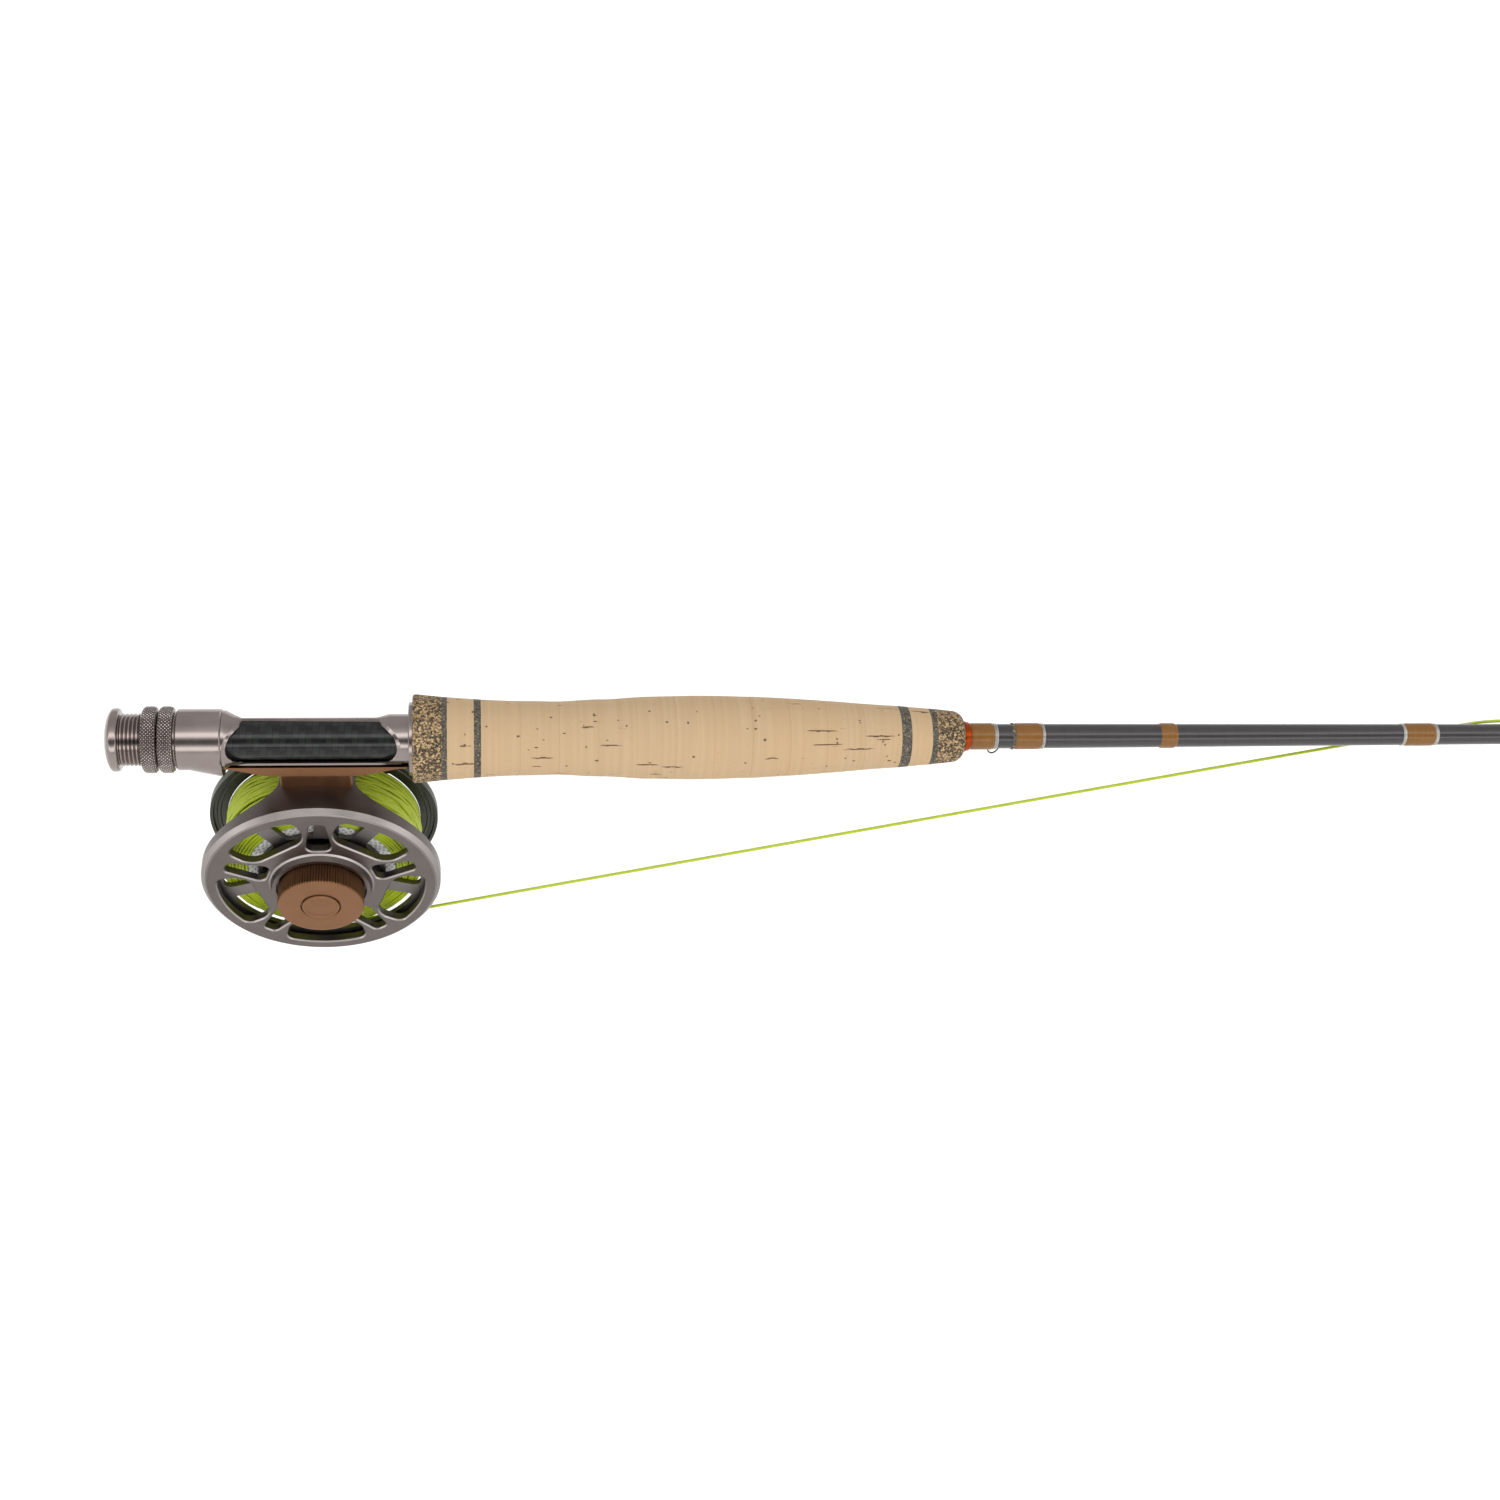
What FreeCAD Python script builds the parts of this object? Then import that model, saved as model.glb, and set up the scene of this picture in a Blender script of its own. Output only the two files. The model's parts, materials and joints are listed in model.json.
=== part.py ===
"""A four-piece fly rod with a large-arbor fly reel on its seat, in millimetres.

The rod lies along X with its tip at +X. The reel hangs below it on the -Z side, and its spool turns
about an axis along Y: the slotted frame plate and the drag knob face -Y, the handle faces +Y.
The origin is on the rod's axis in the middle of the hand grip.
"""
import FreeCAD, Part
import math
import os

V = FreeCAD.Vector

# ---- Rod lengths: places along the rod are given from the butt end ----
BUTT_TO_ORIGIN = 190.0
CAP_FLANGE_END = 4.9
THREAD_END = 36.6
RING_1 = (11.9, 16.9)
RING_2 = (17.2, 22.2)
HOOD = (22.8, 37.1)
SHOULDER_END = 43.2
WINDOW = (38.6, 93.3)
WINDOW_HALF = 6.35
WINDOW_TILT = 25.5
BEVEL = 1.2
SEAT_END = 106.0
SEAT_FLANGE = (97.0, 98.3)
REAR_COMPOSITE = (98.3, 107.8)
DARK_RINGS = ((107.8, 109.5), (118.2, 120.5), (260.9, 264.4), (271.6, 273.6))
ACCENT_RINGS = ((109.5, 118.2), (264.4, 271.6))
GRIP = (120.5, 260.9)
GRIP_RINGS = 11
FRONT_COMPOSITE = (273.6, 284.0)
CHECK = (284.0, 286.3)
BUTT_WRAPS = ((286.3, 294.6), (301.9, 311.3), (353.7, 359.5), (443.2, 454.0))
SILVER_TRIMS = ((294.6, 295.8), (311.3, 312.3), (442.0, 443.2), (454.0, 455.2))
DARK_WRAP = (300.9, 301.9)
KEEPER = (293.9, 298.1)
KEEPER_DROP = 4.3
KEEPER_WIRE_R = 0.28

# ---- Rod radii ----
CAP_R = 10.3
THREAD_R = 8.55
THREAD_PITCH = 1.27
THREAD_DEPTH = 0.5
RING_R = 11.0
RING_BORE = THREAD_R + 0.06
HOOD_R = 10.0
HOOD_BORE = THREAD_R + 0.08
HOOD_DROP = 3.4
COLLAR_R = 8.2
RAIL_R = 7.4
SADDLE_R = 8.6
INSERT_R = 6.75
INSERT_BORE = 5.6
SEAT_FLANGE_R = 12.1
POCKET_R = 10.05
SLEEVE_R = 11.0
WRAP_HEIGHT = 0.3

# ---- Rod sections: butt, second, third, tip ----
FERRULE = 50.0
FERRULE_FIT = 0.05
JOINTS_AT = (618.0, 1259.0, 1900.0)
ROD_END = 2588.0
TENON_R = (3.25, 2.45, 1.65)
SLEEVE_WALL = 0.75
BORE_RATIO = 0.6
TIP_R = 0.9

# ---- Reel: the spool's axis, from the butt end and below the rod's axis ----
REEL_X = 66.2
REEL_Z = -59.4
PLATE = (-16.0, -13.0)
PLATE_R = 40.6
PLATE_CHAMFER = 1.9
RIM_IN_R = 39.2
RIM_DEPTH_Y = -10.3
BRIDGE_END_Y = 12.0
BRIDGE_HALF = 12.5
BRIDGE_FLARE = (22.0, 9.3)
WINDOWS = 5
WINDOW_OUT_R = 35.3
HUB_TOP_Y = -18.4
HUB_IN_R = 15.4
HUB_OUT_R = 16.7
HUB_BASE_R = 17.9
FOOT_HALF_LENGTH = 35.0
FOOT_HALF_WIDTH = 7.4
FOOT_TOP_R = 11.0
FOOT_TIP_R = 9.95
FOOT_MID_R = 12.6
FOOT_BOTTOM_Z = -10.2
PEDESTAL_HALF = 11.8
PEDESTAL_HALF_WIDTH = 4.8

# ---- Drag and spindle, all about the spool's axis ----
SPINDLE_R = 3.0
FIT = 0.05
HOUSING = (13.6, 15.2)
HOUSING_Y = (-13.0, -6.7)
COVER_Y = (-6.7, -5.2)
WASHER_A_Y = (-10.65, -9.75)
DISC_Y = (-9.7, -7.7)
WASHER_B_Y = (-7.65, -6.75)
DISC_HUB = (7.1, 8.5)
DISC_HUB_END_Y = -2.6
PRESSURE_Y = (-12.6, -11.2)
PIN_CIRCLE = 10.6
PIN_R = 1.2
PIN_END_Y = -19.2
THRUST_RING = (8.6, 12.2)
THRUST_RING_Y = (-20.2, -19.2)
SPRING_Y = (-22.9, -20.2)
KNOB_R = 14.6
KNOB_Y = (-25.4, -16.5)
KNOB_FACE_INSIDE_Y = -23.2
MEDALLION_R = 6.35
MEDALLION_PROUD = 0.5

# ---- Spool ----
FRONT_FLANGE_Y = (-11.4, -9.6)
FRONT_FLANGE_R = 38.4
REAR_FLANGE_Y = (13.5, 15.1)
REAR_FLANGE_R = 39.5
REAR_LIP = (38.1, 12.6, 16.2)
ARBOR = (20.2, 21.4)
SPOOL_HUB = (6.5, 8.6)
SPOOL_HUB_Y = (1.5, 13.5)
WEB_Y = (8.5, 10.5)
SPOKE = 5.5
BALANCE_WEB = (8.4, 6.0)
BACKING_R = 25.0
LINE_PACK_R = 34.0
HANDLE_AT_R = 31.0
HANDLE_Y = (16.6, 33.2)

# ---- Guides ----
STRIPPERS = ((740.0, 5.0, 15.0), (985.0, 4.0, 12.5))
SNAKES = ((1232.0,), (1486.0, 1702.0, 1872.0), (2058.0, 2210.0, 2350.0, 2477.0))
SNAKE_LOOP_R = 2.6
SNAKE_WIRE_R = 0.45

# ---- The loose end of the fly line, held taut from the spool to a hitch round the blank ----
LINE_D = 1.1
LINE_ROUTE = (
    (74.5, -7.4, -94.36),
    (464.0, 4.45, 0.2),
    (482.0, 4.3, 2.7),
    (498.0, 3.6, 3.5),
)
HITCH_X = 500.0


def at(x):
    """Turn a place along the rod, from its butt end, into the model's X."""
    return x - BUTT_TO_ORIGIN


def face_of(points):
    """The flat face inside a closed outline."""
    return Part.Face(Part.makePolygon(list(points) + [points[0]]))


def turned_on_rod(outline):
    """A turned piece on the rod's axis; the outline is (place along the rod, radius)."""
    face = face_of([V(at(x), 0, r) for x, r in outline])
    return face.revolve(V(0, 0, 0), V(1, 0, 0), 360)


def turned_on_reel(outline):
    """A turned piece on the spool's axis; the outline is (y, radius)."""
    face = face_of([V(at(REEL_X) + r, y, REEL_Z) for y, r in outline])
    return face.revolve(V(at(REEL_X), 0, REEL_Z), V(0, 1, 0), 360)


def tube_on_rod(x0, x1, outside, inside):
    return turned_on_rod([(x0, inside), (x1, inside), (x1, outside), (x0, outside)])


def disc_on_reel(span, outside, inside):
    y0, y1 = span
    return turned_on_reel([(y0, inside), (y1, inside), (y1, outside), (y0, outside)])


def reel_point(radius, degrees, y):
    """A point round the spool's axis, clockwise from the top as seen from -Y."""
    a = math.radians(degrees)
    return V(at(REEL_X) + radius * math.sin(a), y, REEL_Z + radius * math.cos(a))


def pin_on_reel(radius, degrees, y0, y1, pin_radius):
    return Part.makeCylinder(pin_radius, y1 - y0, reel_point(radius, degrees, y0), V(0, 1, 0))


def round_reel(shape, degrees):
    """A copy of a shape turned clockwise about the spool's axis."""
    copy = shape.copy()
    copy.rotate(V(at(REEL_X), 0, REEL_Z), V(0, 1, 0), degrees)
    return copy


def fuse_all(shapes):
    first = shapes[0]
    return first.fuse(shapes[1:]).removeSplitter()


def upright_edges(shape, keep):
    """The edges along Y whose place (right of, above the spool's axis) passes a test."""
    found = []
    for edge in shape.Edges:
        a, b = edge.Vertexes[0].Point, edge.Vertexes[-1].Point
        along_y = abs(a.x - b.x) + abs(a.z - b.z) < 1e-6 and abs(a.y - b.y) > 1e-3
        if along_y and keep(a.x - at(REEL_X), a.z - REEL_Z):
            found.append(edge)
    return found


def save(name, shape):
    if shape.ShapeType != "Compound" and len(shape.Solids) == 1:
        shape = shape.Solids[0]
    if not shape.isValid():
        print("NOT VALID", name)
    shape.exportStep("parts/%s.step" % name)
    print("%-24s %3d solid(s) %10.1f mm3" % (name, len(shape.Solids), shape.Volume))


# ---------------------------------------------------------------- reel seat
def make_butt_cap():
    """A shallow dome with a flange, and a spigot pressed into the threaded barrel."""
    dome = [(0.0, 0.0), (0.0, 3.0), (0.2, 4.6), (0.7, 6.6), (1.6, 8.8), (3.0, CAP_R), (4.3, CAP_R)]
    spigot = [(CAP_FLANGE_END, CAP_R - 0.6), (CAP_FLANGE_END, 6.9), (9.0, 6.9), (9.0, 0.0)]
    return turned_on_rod(dome + spigot)


def barrel_outline():
    """The outside of the seat: thread grooves, shoulder, slim waist and collar."""
    points = [(CAP_FLANGE_END, THREAD_R - THREAD_DEPTH)]
    x = CAP_FLANGE_END + 0.3
    while x + THREAD_PITCH < THREAD_END:
        points += [(x, THREAD_R - THREAD_DEPTH), (x + 0.36 * THREAD_PITCH, THREAD_R)]
        points.append((x + 0.66 * THREAD_PITCH, THREAD_R))
        x += THREAD_PITCH
    points += [(x, THREAD_R), (HOOD[1] + 0.2, THREAD_R), (HOOD[1] + 0.2, 9.6), (38.2, 9.5)]
    points += [(39.6, 8.8), (41.2, 8.0), (SHOULDER_END, RAIL_R)]
    points += [(86.5, RAIL_R), (88.2, 7.7), (90.5, COLLAR_R), (SEAT_END, COLLAR_R)]
    return points


def window_cut(elevation, half_width):
    """A long slot with round ends, milled into the seat from one side."""
    x0, x1 = WINDOW[0] + half_width, WINDOW[1] - half_width
    box = Part.makeBox(x1 - x0, 2 * half_width, 14, V(at(x0), -half_width, 0.4))
    for x in (x0, x1):
        box = box.fuse(Part.makeCylinder(half_width, 14, V(at(x), 0, 0.4), V(0, 0, 1)))
    cut = box.removeSplitter()
    cut.rotate(V(0, 0, 0), V(1, 0, 0), 90 - elevation)
    return cut


def seat_radius(x, below):
    """The seat's outside radius over its slim middle; the saddle below the axis is broader."""
    points = [(36.0, 9.6)] + [p for p in barrel_outline() if p[0] > HOOD[1] + 1]
    for (xa, ra), (xb, rb) in zip(points, points[1:]):
        if x <= xb:
            radius = ra + (rb - ra) * (x - xa) / (xb - xa)
            return max(radius, SADDLE_R) if below else radius
    return COLLAR_R


def window_bevel(elevation, half_width):
    """The bevel round a window: a closed band that takes the outer corner off the slot's edge."""
    a = math.radians(elevation)
    across, outward = V(0, math.sin(a), math.cos(a)), V(0, -math.cos(a), math.sin(a))
    middle = (WINDOW[0] + WINDOW[1]) / 2
    straight = (WINDOW[1] - WINDOW[0]) / 2 - half_width
    sections = []
    for i in range(48):
        turn = 2 * math.pi * (i + 0.5) / 48
        end = math.copysign(straight, math.cos(turn))
        corners = []
        low = 0.0
        for offset in (BEVEL, -0.1):
            r = half_width + offset
            x, w = middle + end + r * math.cos(turn), r * math.sin(turn)
            surface = math.sqrt(max(seat_radius(x, w < -4.0) ** 2 - w ** 2, 0.0))
            low = surface if offset > 0 else max(0.6, min(low + 0.5 * BEVEL, surface - 0.35))
            base = V(at(x), 0, 0) + across * w
            corners += [base + outward * low, base + outward * 12]
        b, d, c, e = corners
        sections.append(Part.makePolygon([b, d, e, c, b]))
    return Part.makeLoft(sections, True, True, True)


def make_seat():
    """The one-piece threaded barrel and skeleton, with two windows over the carbon insert."""
    outside = barrel_outline()
    bore = [(SEAT_END, INSERT_R + 0.02), (37.0, INSERT_R + 0.02), (37.0, 6.9), (CAP_FLANGE_END, 6.9)]
    body = turned_on_rod(outside + bore)
    saddle = tube_on_rod(HOOD[1] + 0.2, 94.5, SADDLE_R, INSERT_R + 0.02)
    saddle = saddle.common(Part.makeBox(70, 40, 20, V(at(30), -20, -20 - 4.0)))
    foot_room = tube_on_rod(HOOD[1] - 0.1, SHOULDER_END + 1, 12, SADDLE_R)
    foot_room = foot_room.common(Part.makeBox(20, 2 * FOOT_HALF_WIDTH + 0.6, 20, V(at(30), -7.7, -20)))
    body = body.cut(foot_room).fuse(saddle).removeSplitter()
    # Milled from -Y a little above level, and from +Y: a rail is left on top, a broad saddle below.
    body = body.cut(window_cut(WINDOW_TILT, WINDOW_HALF)).cut(window_bevel(WINDOW_TILT, WINDOW_HALF))
    return body.cut(window_cut(10, 5.5).mirror(V(0, 0, 0), V(0, 1, 0)))


def make_lock_ring(span):
    x0, x1 = span
    c = 1.3
    return turned_on_rod([
        (x0, RING_BORE), (x1, RING_BORE), (x1, RING_R - c), (x1 - 0.5, RING_R - 0.35), (x1 - c, RING_R),
        (x0 + c, RING_R), (x0 + 0.5, RING_R - 0.35), (x0, RING_R - c),
    ])


def make_hood():
    """The sliding hood: round at its back, dropped towards the reel where it covers the foot."""
    x0, x1 = HOOD
    body = turned_on_rod([
        (x0, 0), (x1, 0), (x1, HOOD_R - 0.4), (x1 - 0.4, HOOD_R), (x0 + 0.5, HOOD_R), (x0, HOOD_R - 0.5),
    ])
    back = Part.Wire(Part.makeCircle(HOOD_R - 0.6, V(at(x0 + 1.2), 0, 0), V(1, 0, 0)))
    middle = Part.Wire(Part.makeCircle(HOOD_R, V(at(x0 + 7.5), 0, -1.3), V(1, 0, 0)))
    front = Part.Wire(Part.makeCircle(HOOD_R, V(at(x1), 0, -HOOD_DROP), V(1, 0, 0)))
    body = body.fuse(Part.makeLoft([back, middle, front], True)).removeSplitter()
    body = body.cut(Part.makeCylinder(HOOD_BORE, x1 - x0 + 2, V(at(x0 - 1), 0, 0), V(1, 0, 0)))
    pocket = Part.makeCylinder(POCKET_R, 8, V(at(30.8), 0, 0), V(1, 0, 0))
    pocket = pocket.common(Part.makeBox(8, 15.4, 14, V(at(30.8), -7.7, -14)))
    return body.cut(pocket)


def make_fixed_hood():
    """The flange at the grip and the sleeve behind it, with a pocket for the foot's front end."""
    x0, x1 = SEAT_FLANGE
    body = turned_on_rod([
        (x0, COLLAR_R + 0.02), (SEAT_END, COLLAR_R + 0.02), (SEAT_END, SLEEVE_R), (x1, SLEEVE_R),
        (x1, SEAT_FLANGE_R), (x0 + 0.3, SEAT_FLANGE_R), (x0, SEAT_FLANGE_R - 0.3),
    ])
    pocket = Part.makeCylinder(POCKET_R, 6.6, V(at(95.0), 0, 0), V(1, 0, 0))
    pocket = pocket.common(Part.makeBox(6.6, 15.4, 14, V(at(95.0), -7.7, -14)))
    return body.cut(pocket)


# ---------------------------------------------------------------- grip
def grip_radius(x):
    """The swell of the grip: slim behind, full in the middle, and drawn down at the front."""
    knots = ((107.8, 13.8), (120.5, 12.9), (130.0, 12.45), (144.0, 12.2), (160.0, 12.9), (176.0, 13.75),
             (192.0, 14.05), (212.0, 13.75), (232.0, 12.6), (247.0, 11.4), (261.0, 10.5), (274.4, 9.35))
    for (xa, ra), (xb, rb) in zip(knots, knots[1:]):
        if x <= xb:
            t = max(0.0, (x - xa) / (xb - xa))
            return ra + (rb - ra) * (3 * t * t - 2 * t ** 3) if 144 < x < 212 else ra + (rb - ra) * t
    return knots[-1][1]


def grip_ring(x0, x1, steps):
    outline = [(x1, blank_radius(x0)), (x0, blank_radius(x0))]
    outline += [(x0 + (x1 - x0) * i / steps, grip_radius(x0 + (x1 - x0) * i / steps)) for i in range(steps + 1)]
    return turned_on_rod(outline)


def make_rear_composite():
    x0, x1 = REAR_COMPOSITE
    return turned_on_rod([
        (x0, SLEEVE_R + 0.02), (SEAT_END, SLEEVE_R + 0.02), (SEAT_END, blank_radius(SEAT_END)),
        (x1, blank_radius(SEAT_END)), (x1, grip_radius(x1)), (x0 + 0.9, 14.7), (x0 + 0.25, 14.5), (x0, 14.0),
    ])


def make_front_composite():
    x0, x1 = FRONT_COMPOSITE
    bore = blank_radius(x0)
    shoulder = []
    for i in range(7):
        a = math.radians(15 * i)
        shoulder.append((x1 - 4.4 + 4.4 * math.sin(a), 4.9 + 3.9 * math.cos(a)))
    return turned_on_rod([(x1, bore), (x0, bore), (x0, grip_radius(x0))] + shoulder)


# ---------------------------------------------------------------- blanks and wraps
BUTT_TAPER = ((9.2, 4.9), (313.0, 4.2), (470.0, 3.6), (JOINTS_AT[0] - 2, TENON_R[0] + 0.1))


def blank_radius(x):
    """Half the butt section's diameter."""
    for (xa, ra), (xb, rb) in zip(BUTT_TAPER, BUTT_TAPER[1:]):
        if x <= xb:
            return ra + (rb - ra) * (x - xa) / (xb - xa)
    return TENON_R[0]


def section_outside(i):
    """The outside of rod section i (0 is the butt): socket, taper and tenon, as (place, radius)."""
    if i == 0:
        points = list(BUTT_TAPER)
    else:
        start = JOINTS_AT[i - 1]
        socket = TENON_R[i - 1] + FERRULE_FIT + SLEEVE_WALL
        points = [(start, socket), (start + FERRULE + 4, socket), (start + FERRULE + 14, TENON_R[i - 1] + 0.25)]
    if i == len(JOINTS_AT):
        return points + [(ROD_END, TIP_R)]
    tenon = JOINTS_AT[i]
    return points + [(tenon - 2, TENON_R[i] + 0.1), (tenon, TENON_R[i]), (tenon + FERRULE, TENON_R[i])]


def section_radius(i, x):
    points = section_outside(i)
    for (xa, ra), (xb, rb) in zip(points, points[1:]):
        if x <= xb:
            return ra + (rb - ra) * (x - xa) / (xb - xa)
    return points[-1][1]


def make_section(i):
    """A hollow tapered blank; each section's lower end slips over the tenon below it."""
    outside = section_outside(i)
    x0, x1 = outside[0][0], outside[-1][0]
    if i == 0:
        inside = [(x1, TENON_R[0] * BORE_RATIO), (x0, 2.6)]
    else:
        socket = TENON_R[i - 1] + FERRULE_FIT
        end_r = outside[-1][1] * BORE_RATIO
        inside = [(x1, end_r), (x0 + FERRULE + 6, TENON_R[i - 1] * BORE_RATIO), (x0 + FERRULE + 1, socket),
                  (x0, socket)]
    return turned_on_rod(outside + inside)


def wrap(x0, x1, i, height=WRAP_HEIGHT):
    """A sleeve of thread under varnish, with soft ends."""
    edge = min(0.5, (x1 - x0) / 4)
    return turned_on_rod([
        (x0, section_radius(i, x0)), (x1, section_radius(i, x1)), (x1, section_radius(i, x1) + 0.08),
        (x1 - edge, section_radius(i, x1 - edge) + height), (x0 + edge, section_radius(i, x0 + edge) + height),
        (x0, section_radius(i, x0) + 0.08),
    ])


def rod_wire(points, radius):
    """A bent wire: straight rods with ball corners."""
    pieces = []
    for a, b in zip(points, points[1:]):
        pieces.append(Part.makeCylinder(radius, (b - a).Length, a, b - a))
    for p in points:
        pieces.append(Part.makeSphere(radius, p))
    return fuse_all(pieces)


def make_hook_keeper():
    """A small wire loop under the butt wraps, for parking the hook."""
    x0, x1 = KEEPER
    near = section_radius(0, x0) + WRAP_HEIGHT + KEEPER_WIRE_R + 0.03
    far = section_radius(0, x1) + KEEPER_WIRE_R + 0.03
    loop = []
    for i in range(13):
        a = math.pi * i / 12
        share = (1 - math.cos(a)) / 2
        loop.append(V(at(x0 + (x1 - x0) * share), 0.0, -near - (far - near) * share - KEEPER_DROP * math.sin(a)))
    return rod_wire(loop, KEEPER_WIRE_R)


# ---------------------------------------------------------------- guides
def stripper_centre(x, ring_r, height, i):
    """How high the ring's centre is: the guide stands on the blank's underside."""
    return -section_radius(i, x) - height + ring_r


def make_stripper_frame(x, ring_r, height, i):
    """A double-foot stripping guide: two feet, two legs and a ring holder."""
    surface = section_radius(i, x - 19)
    centre_z = stripper_centre(x, ring_r, height, i)
    holder = Part.makeTorus(ring_r + 0.55, 0.45, V(at(x), 0, centre_z), V(1, 0, 0))
    pieces = [holder]
    for side in (-1, 1):
        foot = V(at(x) + side * 11, 0, -surface - 0.45)
        for y in (-1, 1):
            low = V(at(x), y * (ring_r + 0.8), centre_z)
            if side > 0:
                low = V(at(x), y * (ring_r + 0.55) * 0.5, centre_z + (ring_r + 0.55) * 0.866)
            pieces.append(Part.makeCylinder(0.42, (low - foot).Length, foot, low - foot))
        pieces.append(Part.makeCylinder(0.42, 8, foot, V(side, 0, 0)))
    seat = Part.makeCylinder(ring_r + 0.09, 1.7, V(at(x) - 0.85, 0, centre_z), V(1, 0, 0))
    return fuse_all(pieces).cut(seat)


def make_stripper_ring(x, ring_r, height, i):
    """The hard ring inside the holder."""
    centre_z = stripper_centre(x, ring_r, height, i)
    outer = Part.makeCylinder(ring_r + 0.08, 1.6, V(at(x) - 0.8, 0, centre_z), V(1, 0, 0))
    return outer.cut(Part.makeCylinder(ring_r - 0.8, 3, V(at(x) - 1.5, 0, centre_z), V(1, 0, 0)))


def make_snake(x, i):
    """A snake guide: one wire with a foot at each end and a twisted loop between them."""
    surface = section_radius(i, x - 13) + SNAKE_WIRE_R
    points = [V(at(x) - 13, 0, -surface), V(at(x) - 7, 0, -surface)]
    for k in range(13):
        t = k / 12
        a = 2 * math.pi * (t - 0.5) * 0.78
        points.append(V(at(x) - 3.6 + 7.2 * t, SNAKE_LOOP_R * math.sin(a), -surface - SNAKE_LOOP_R - 0.6
                        - SNAKE_LOOP_R * math.cos(a)))
    points += [V(at(x) + 7, 0, -surface), V(at(x) + 13, 0, -surface)]
    return rod_wire(points, SNAKE_WIRE_R)


def make_tip_top():
    """The tip-top: a tube over the end of the blank, with a ring to lead the line off it."""
    tube = tube_on_rod(ROD_END - 9, ROD_END + 0.6, TIP_R + 0.42, section_radius(3, ROD_END - 9) + 0.02)
    ring = Part.makeTorus(2.35, 0.5, V(at(ROD_END + 1.2), 0, -2.6), V(0.906, 0, -0.423))
    braces = []
    for y in (-1, 1):
        foot = V(at(ROD_END - 5), y * 0.8, -TIP_R - 0.35)
        top = V(at(ROD_END + 0.4), y * 2.2, -4.0)
        braces.append(Part.makeCylinder(0.32, (top - foot).Length, foot, top - foot))
    return fuse_all([tube, ring] + braces)


def section_wraps(i):
    """The wraps that bind a section's socket, and those over the feet of its guides."""
    start = JOINTS_AT[i - 1]
    wraps = [wrap(start + 1, start + 13, i), wrap(start + 34, start + 46, i)]
    for x in SNAKES[i - 1]:
        guide = make_snake(x, i)
        wraps += [wrap(x - 14, x - 7.5, i).cut(guide), wrap(x + 7.5, x + 14, i).cut(guide)]
    if i == 1:
        for x, ring_r, height in STRIPPERS:
            guide = make_stripper_frame(x, ring_r, height, i)
            wraps += [wrap(x - 20, x - 11.5, i).cut(guide), wrap(x + 11.5, x + 20, i).cut(guide)]
    return wraps


# ---------------------------------------------------------------- reel frame and foot
def large_window():
    """One of the five broad openings in the plate: wide and round at the hub, straight-sided, arched."""
    top = 32.4
    bottom = 22.4
    corner = math.sqrt(WINDOW_OUT_R ** 2 - top ** 2)
    right, left = V(corner, 0, top), V(-corner, 0, top)
    arch = Part.Arc(left, V(0, 0, WINDOW_OUT_R), right).toShape()
    sides = Part.makePolygon([right, V(11.8, 0, bottom), V(-11.8, 0, bottom), left])
    block = Part.Face(Part.Wire([arch] + sides.Edges)).extrude(V(0, 12, 0))
    block.translate(V(at(REEL_X), PLATE[0] - 5, REEL_Z))
    block = block.makeFillet(6.3, upright_edges(block, lambda u, w: w < 25))
    return block.makeFillet(3.0, upright_edges(block, lambda u, w: w > 30 and abs(u) > corner - 1))


def small_window():
    """One of the five narrow openings between the broad ones."""
    face = face_of([V(-4.6, 0, 18.8), V(4.6, 0, 18.8), V(2.4, 0, 33.3), V(-2.4, 0, 33.3)])
    block = face.extrude(V(0, 12, 0))
    block.translate(V(at(REEL_X), PLATE[0] - 5, REEL_Z))
    block = block.makeFillet(2.6, upright_edges(block, lambda u, w: w < 25))
    return block.makeFillet(1.7, upright_edges(block, lambda u, w: w > 25))


def front_window_edges(shape):
    """The edges round the windows on the plate's outer face."""
    found = []
    for edge in shape.Edges:
        box = edge.BoundBox
        middle = edge.valueAt((edge.FirstParameter + edge.LastParameter) / 2)
        radius = math.hypot(middle.x - at(REEL_X), middle.z - REEL_Z)
        on_face = abs(box.YMin - PLATE[0]) < 1e-4 and abs(box.YMax - PLATE[0]) < 1e-4
        if on_face and HUB_BASE_R + 0.3 < radius < WINDOW_OUT_R + 0.3:
            found.append(edge)
    return found


def make_frame():
    """The frame: a slotted plate with a raised hub, a rim, and the bridge that carries the foot."""
    y0, y1 = PLATE
    plate = turned_on_reel([
        (y0, SPINDLE_R + FIT), (y0, HUB_IN_R), (HUB_TOP_Y, HUB_IN_R), (HUB_TOP_Y, HUB_OUT_R),
        (y0 - 0.5, HUB_BASE_R - 0.6), (y0, HUB_BASE_R), (y0, PLATE_R - PLATE_CHAMFER),
        (y0 + 0.35, PLATE_R - 1.3), (y0 + PLATE_CHAMFER, PLATE_R), (RIM_DEPTH_Y, PLATE_R),
        (RIM_DEPTH_Y, RIM_IN_R), (y1, RIM_IN_R), (y1, SPINDLE_R + FIT),
    ])
    cuts = []
    for k in range(WINDOWS):
        cuts.append(round_reel(large_window(), 36 + 72 * k))
        cuts.append(round_reel(small_window(), 72 * k))
    for k in range(3):
        cuts.append(pin_on_reel(PIN_CIRCLE, 120 * k, y0 - 1, y1 + 1, PIN_R + FIT))
    plate = plate.cut(cuts)
    plate = plate.makeChamfer(0.45, front_window_edges(plate))
    shell = turned_on_reel([
        (RIM_DEPTH_Y - 0.6, RIM_IN_R), (BRIDGE_END_Y, RIM_IN_R), (BRIDGE_END_Y, PLATE_R),
        (RIM_DEPTH_Y - 0.6, PLATE_R),
    ])
    bridge = shell.common(bridge_plan())
    return plate.fuse(bridge).removeSplitter()


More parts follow.
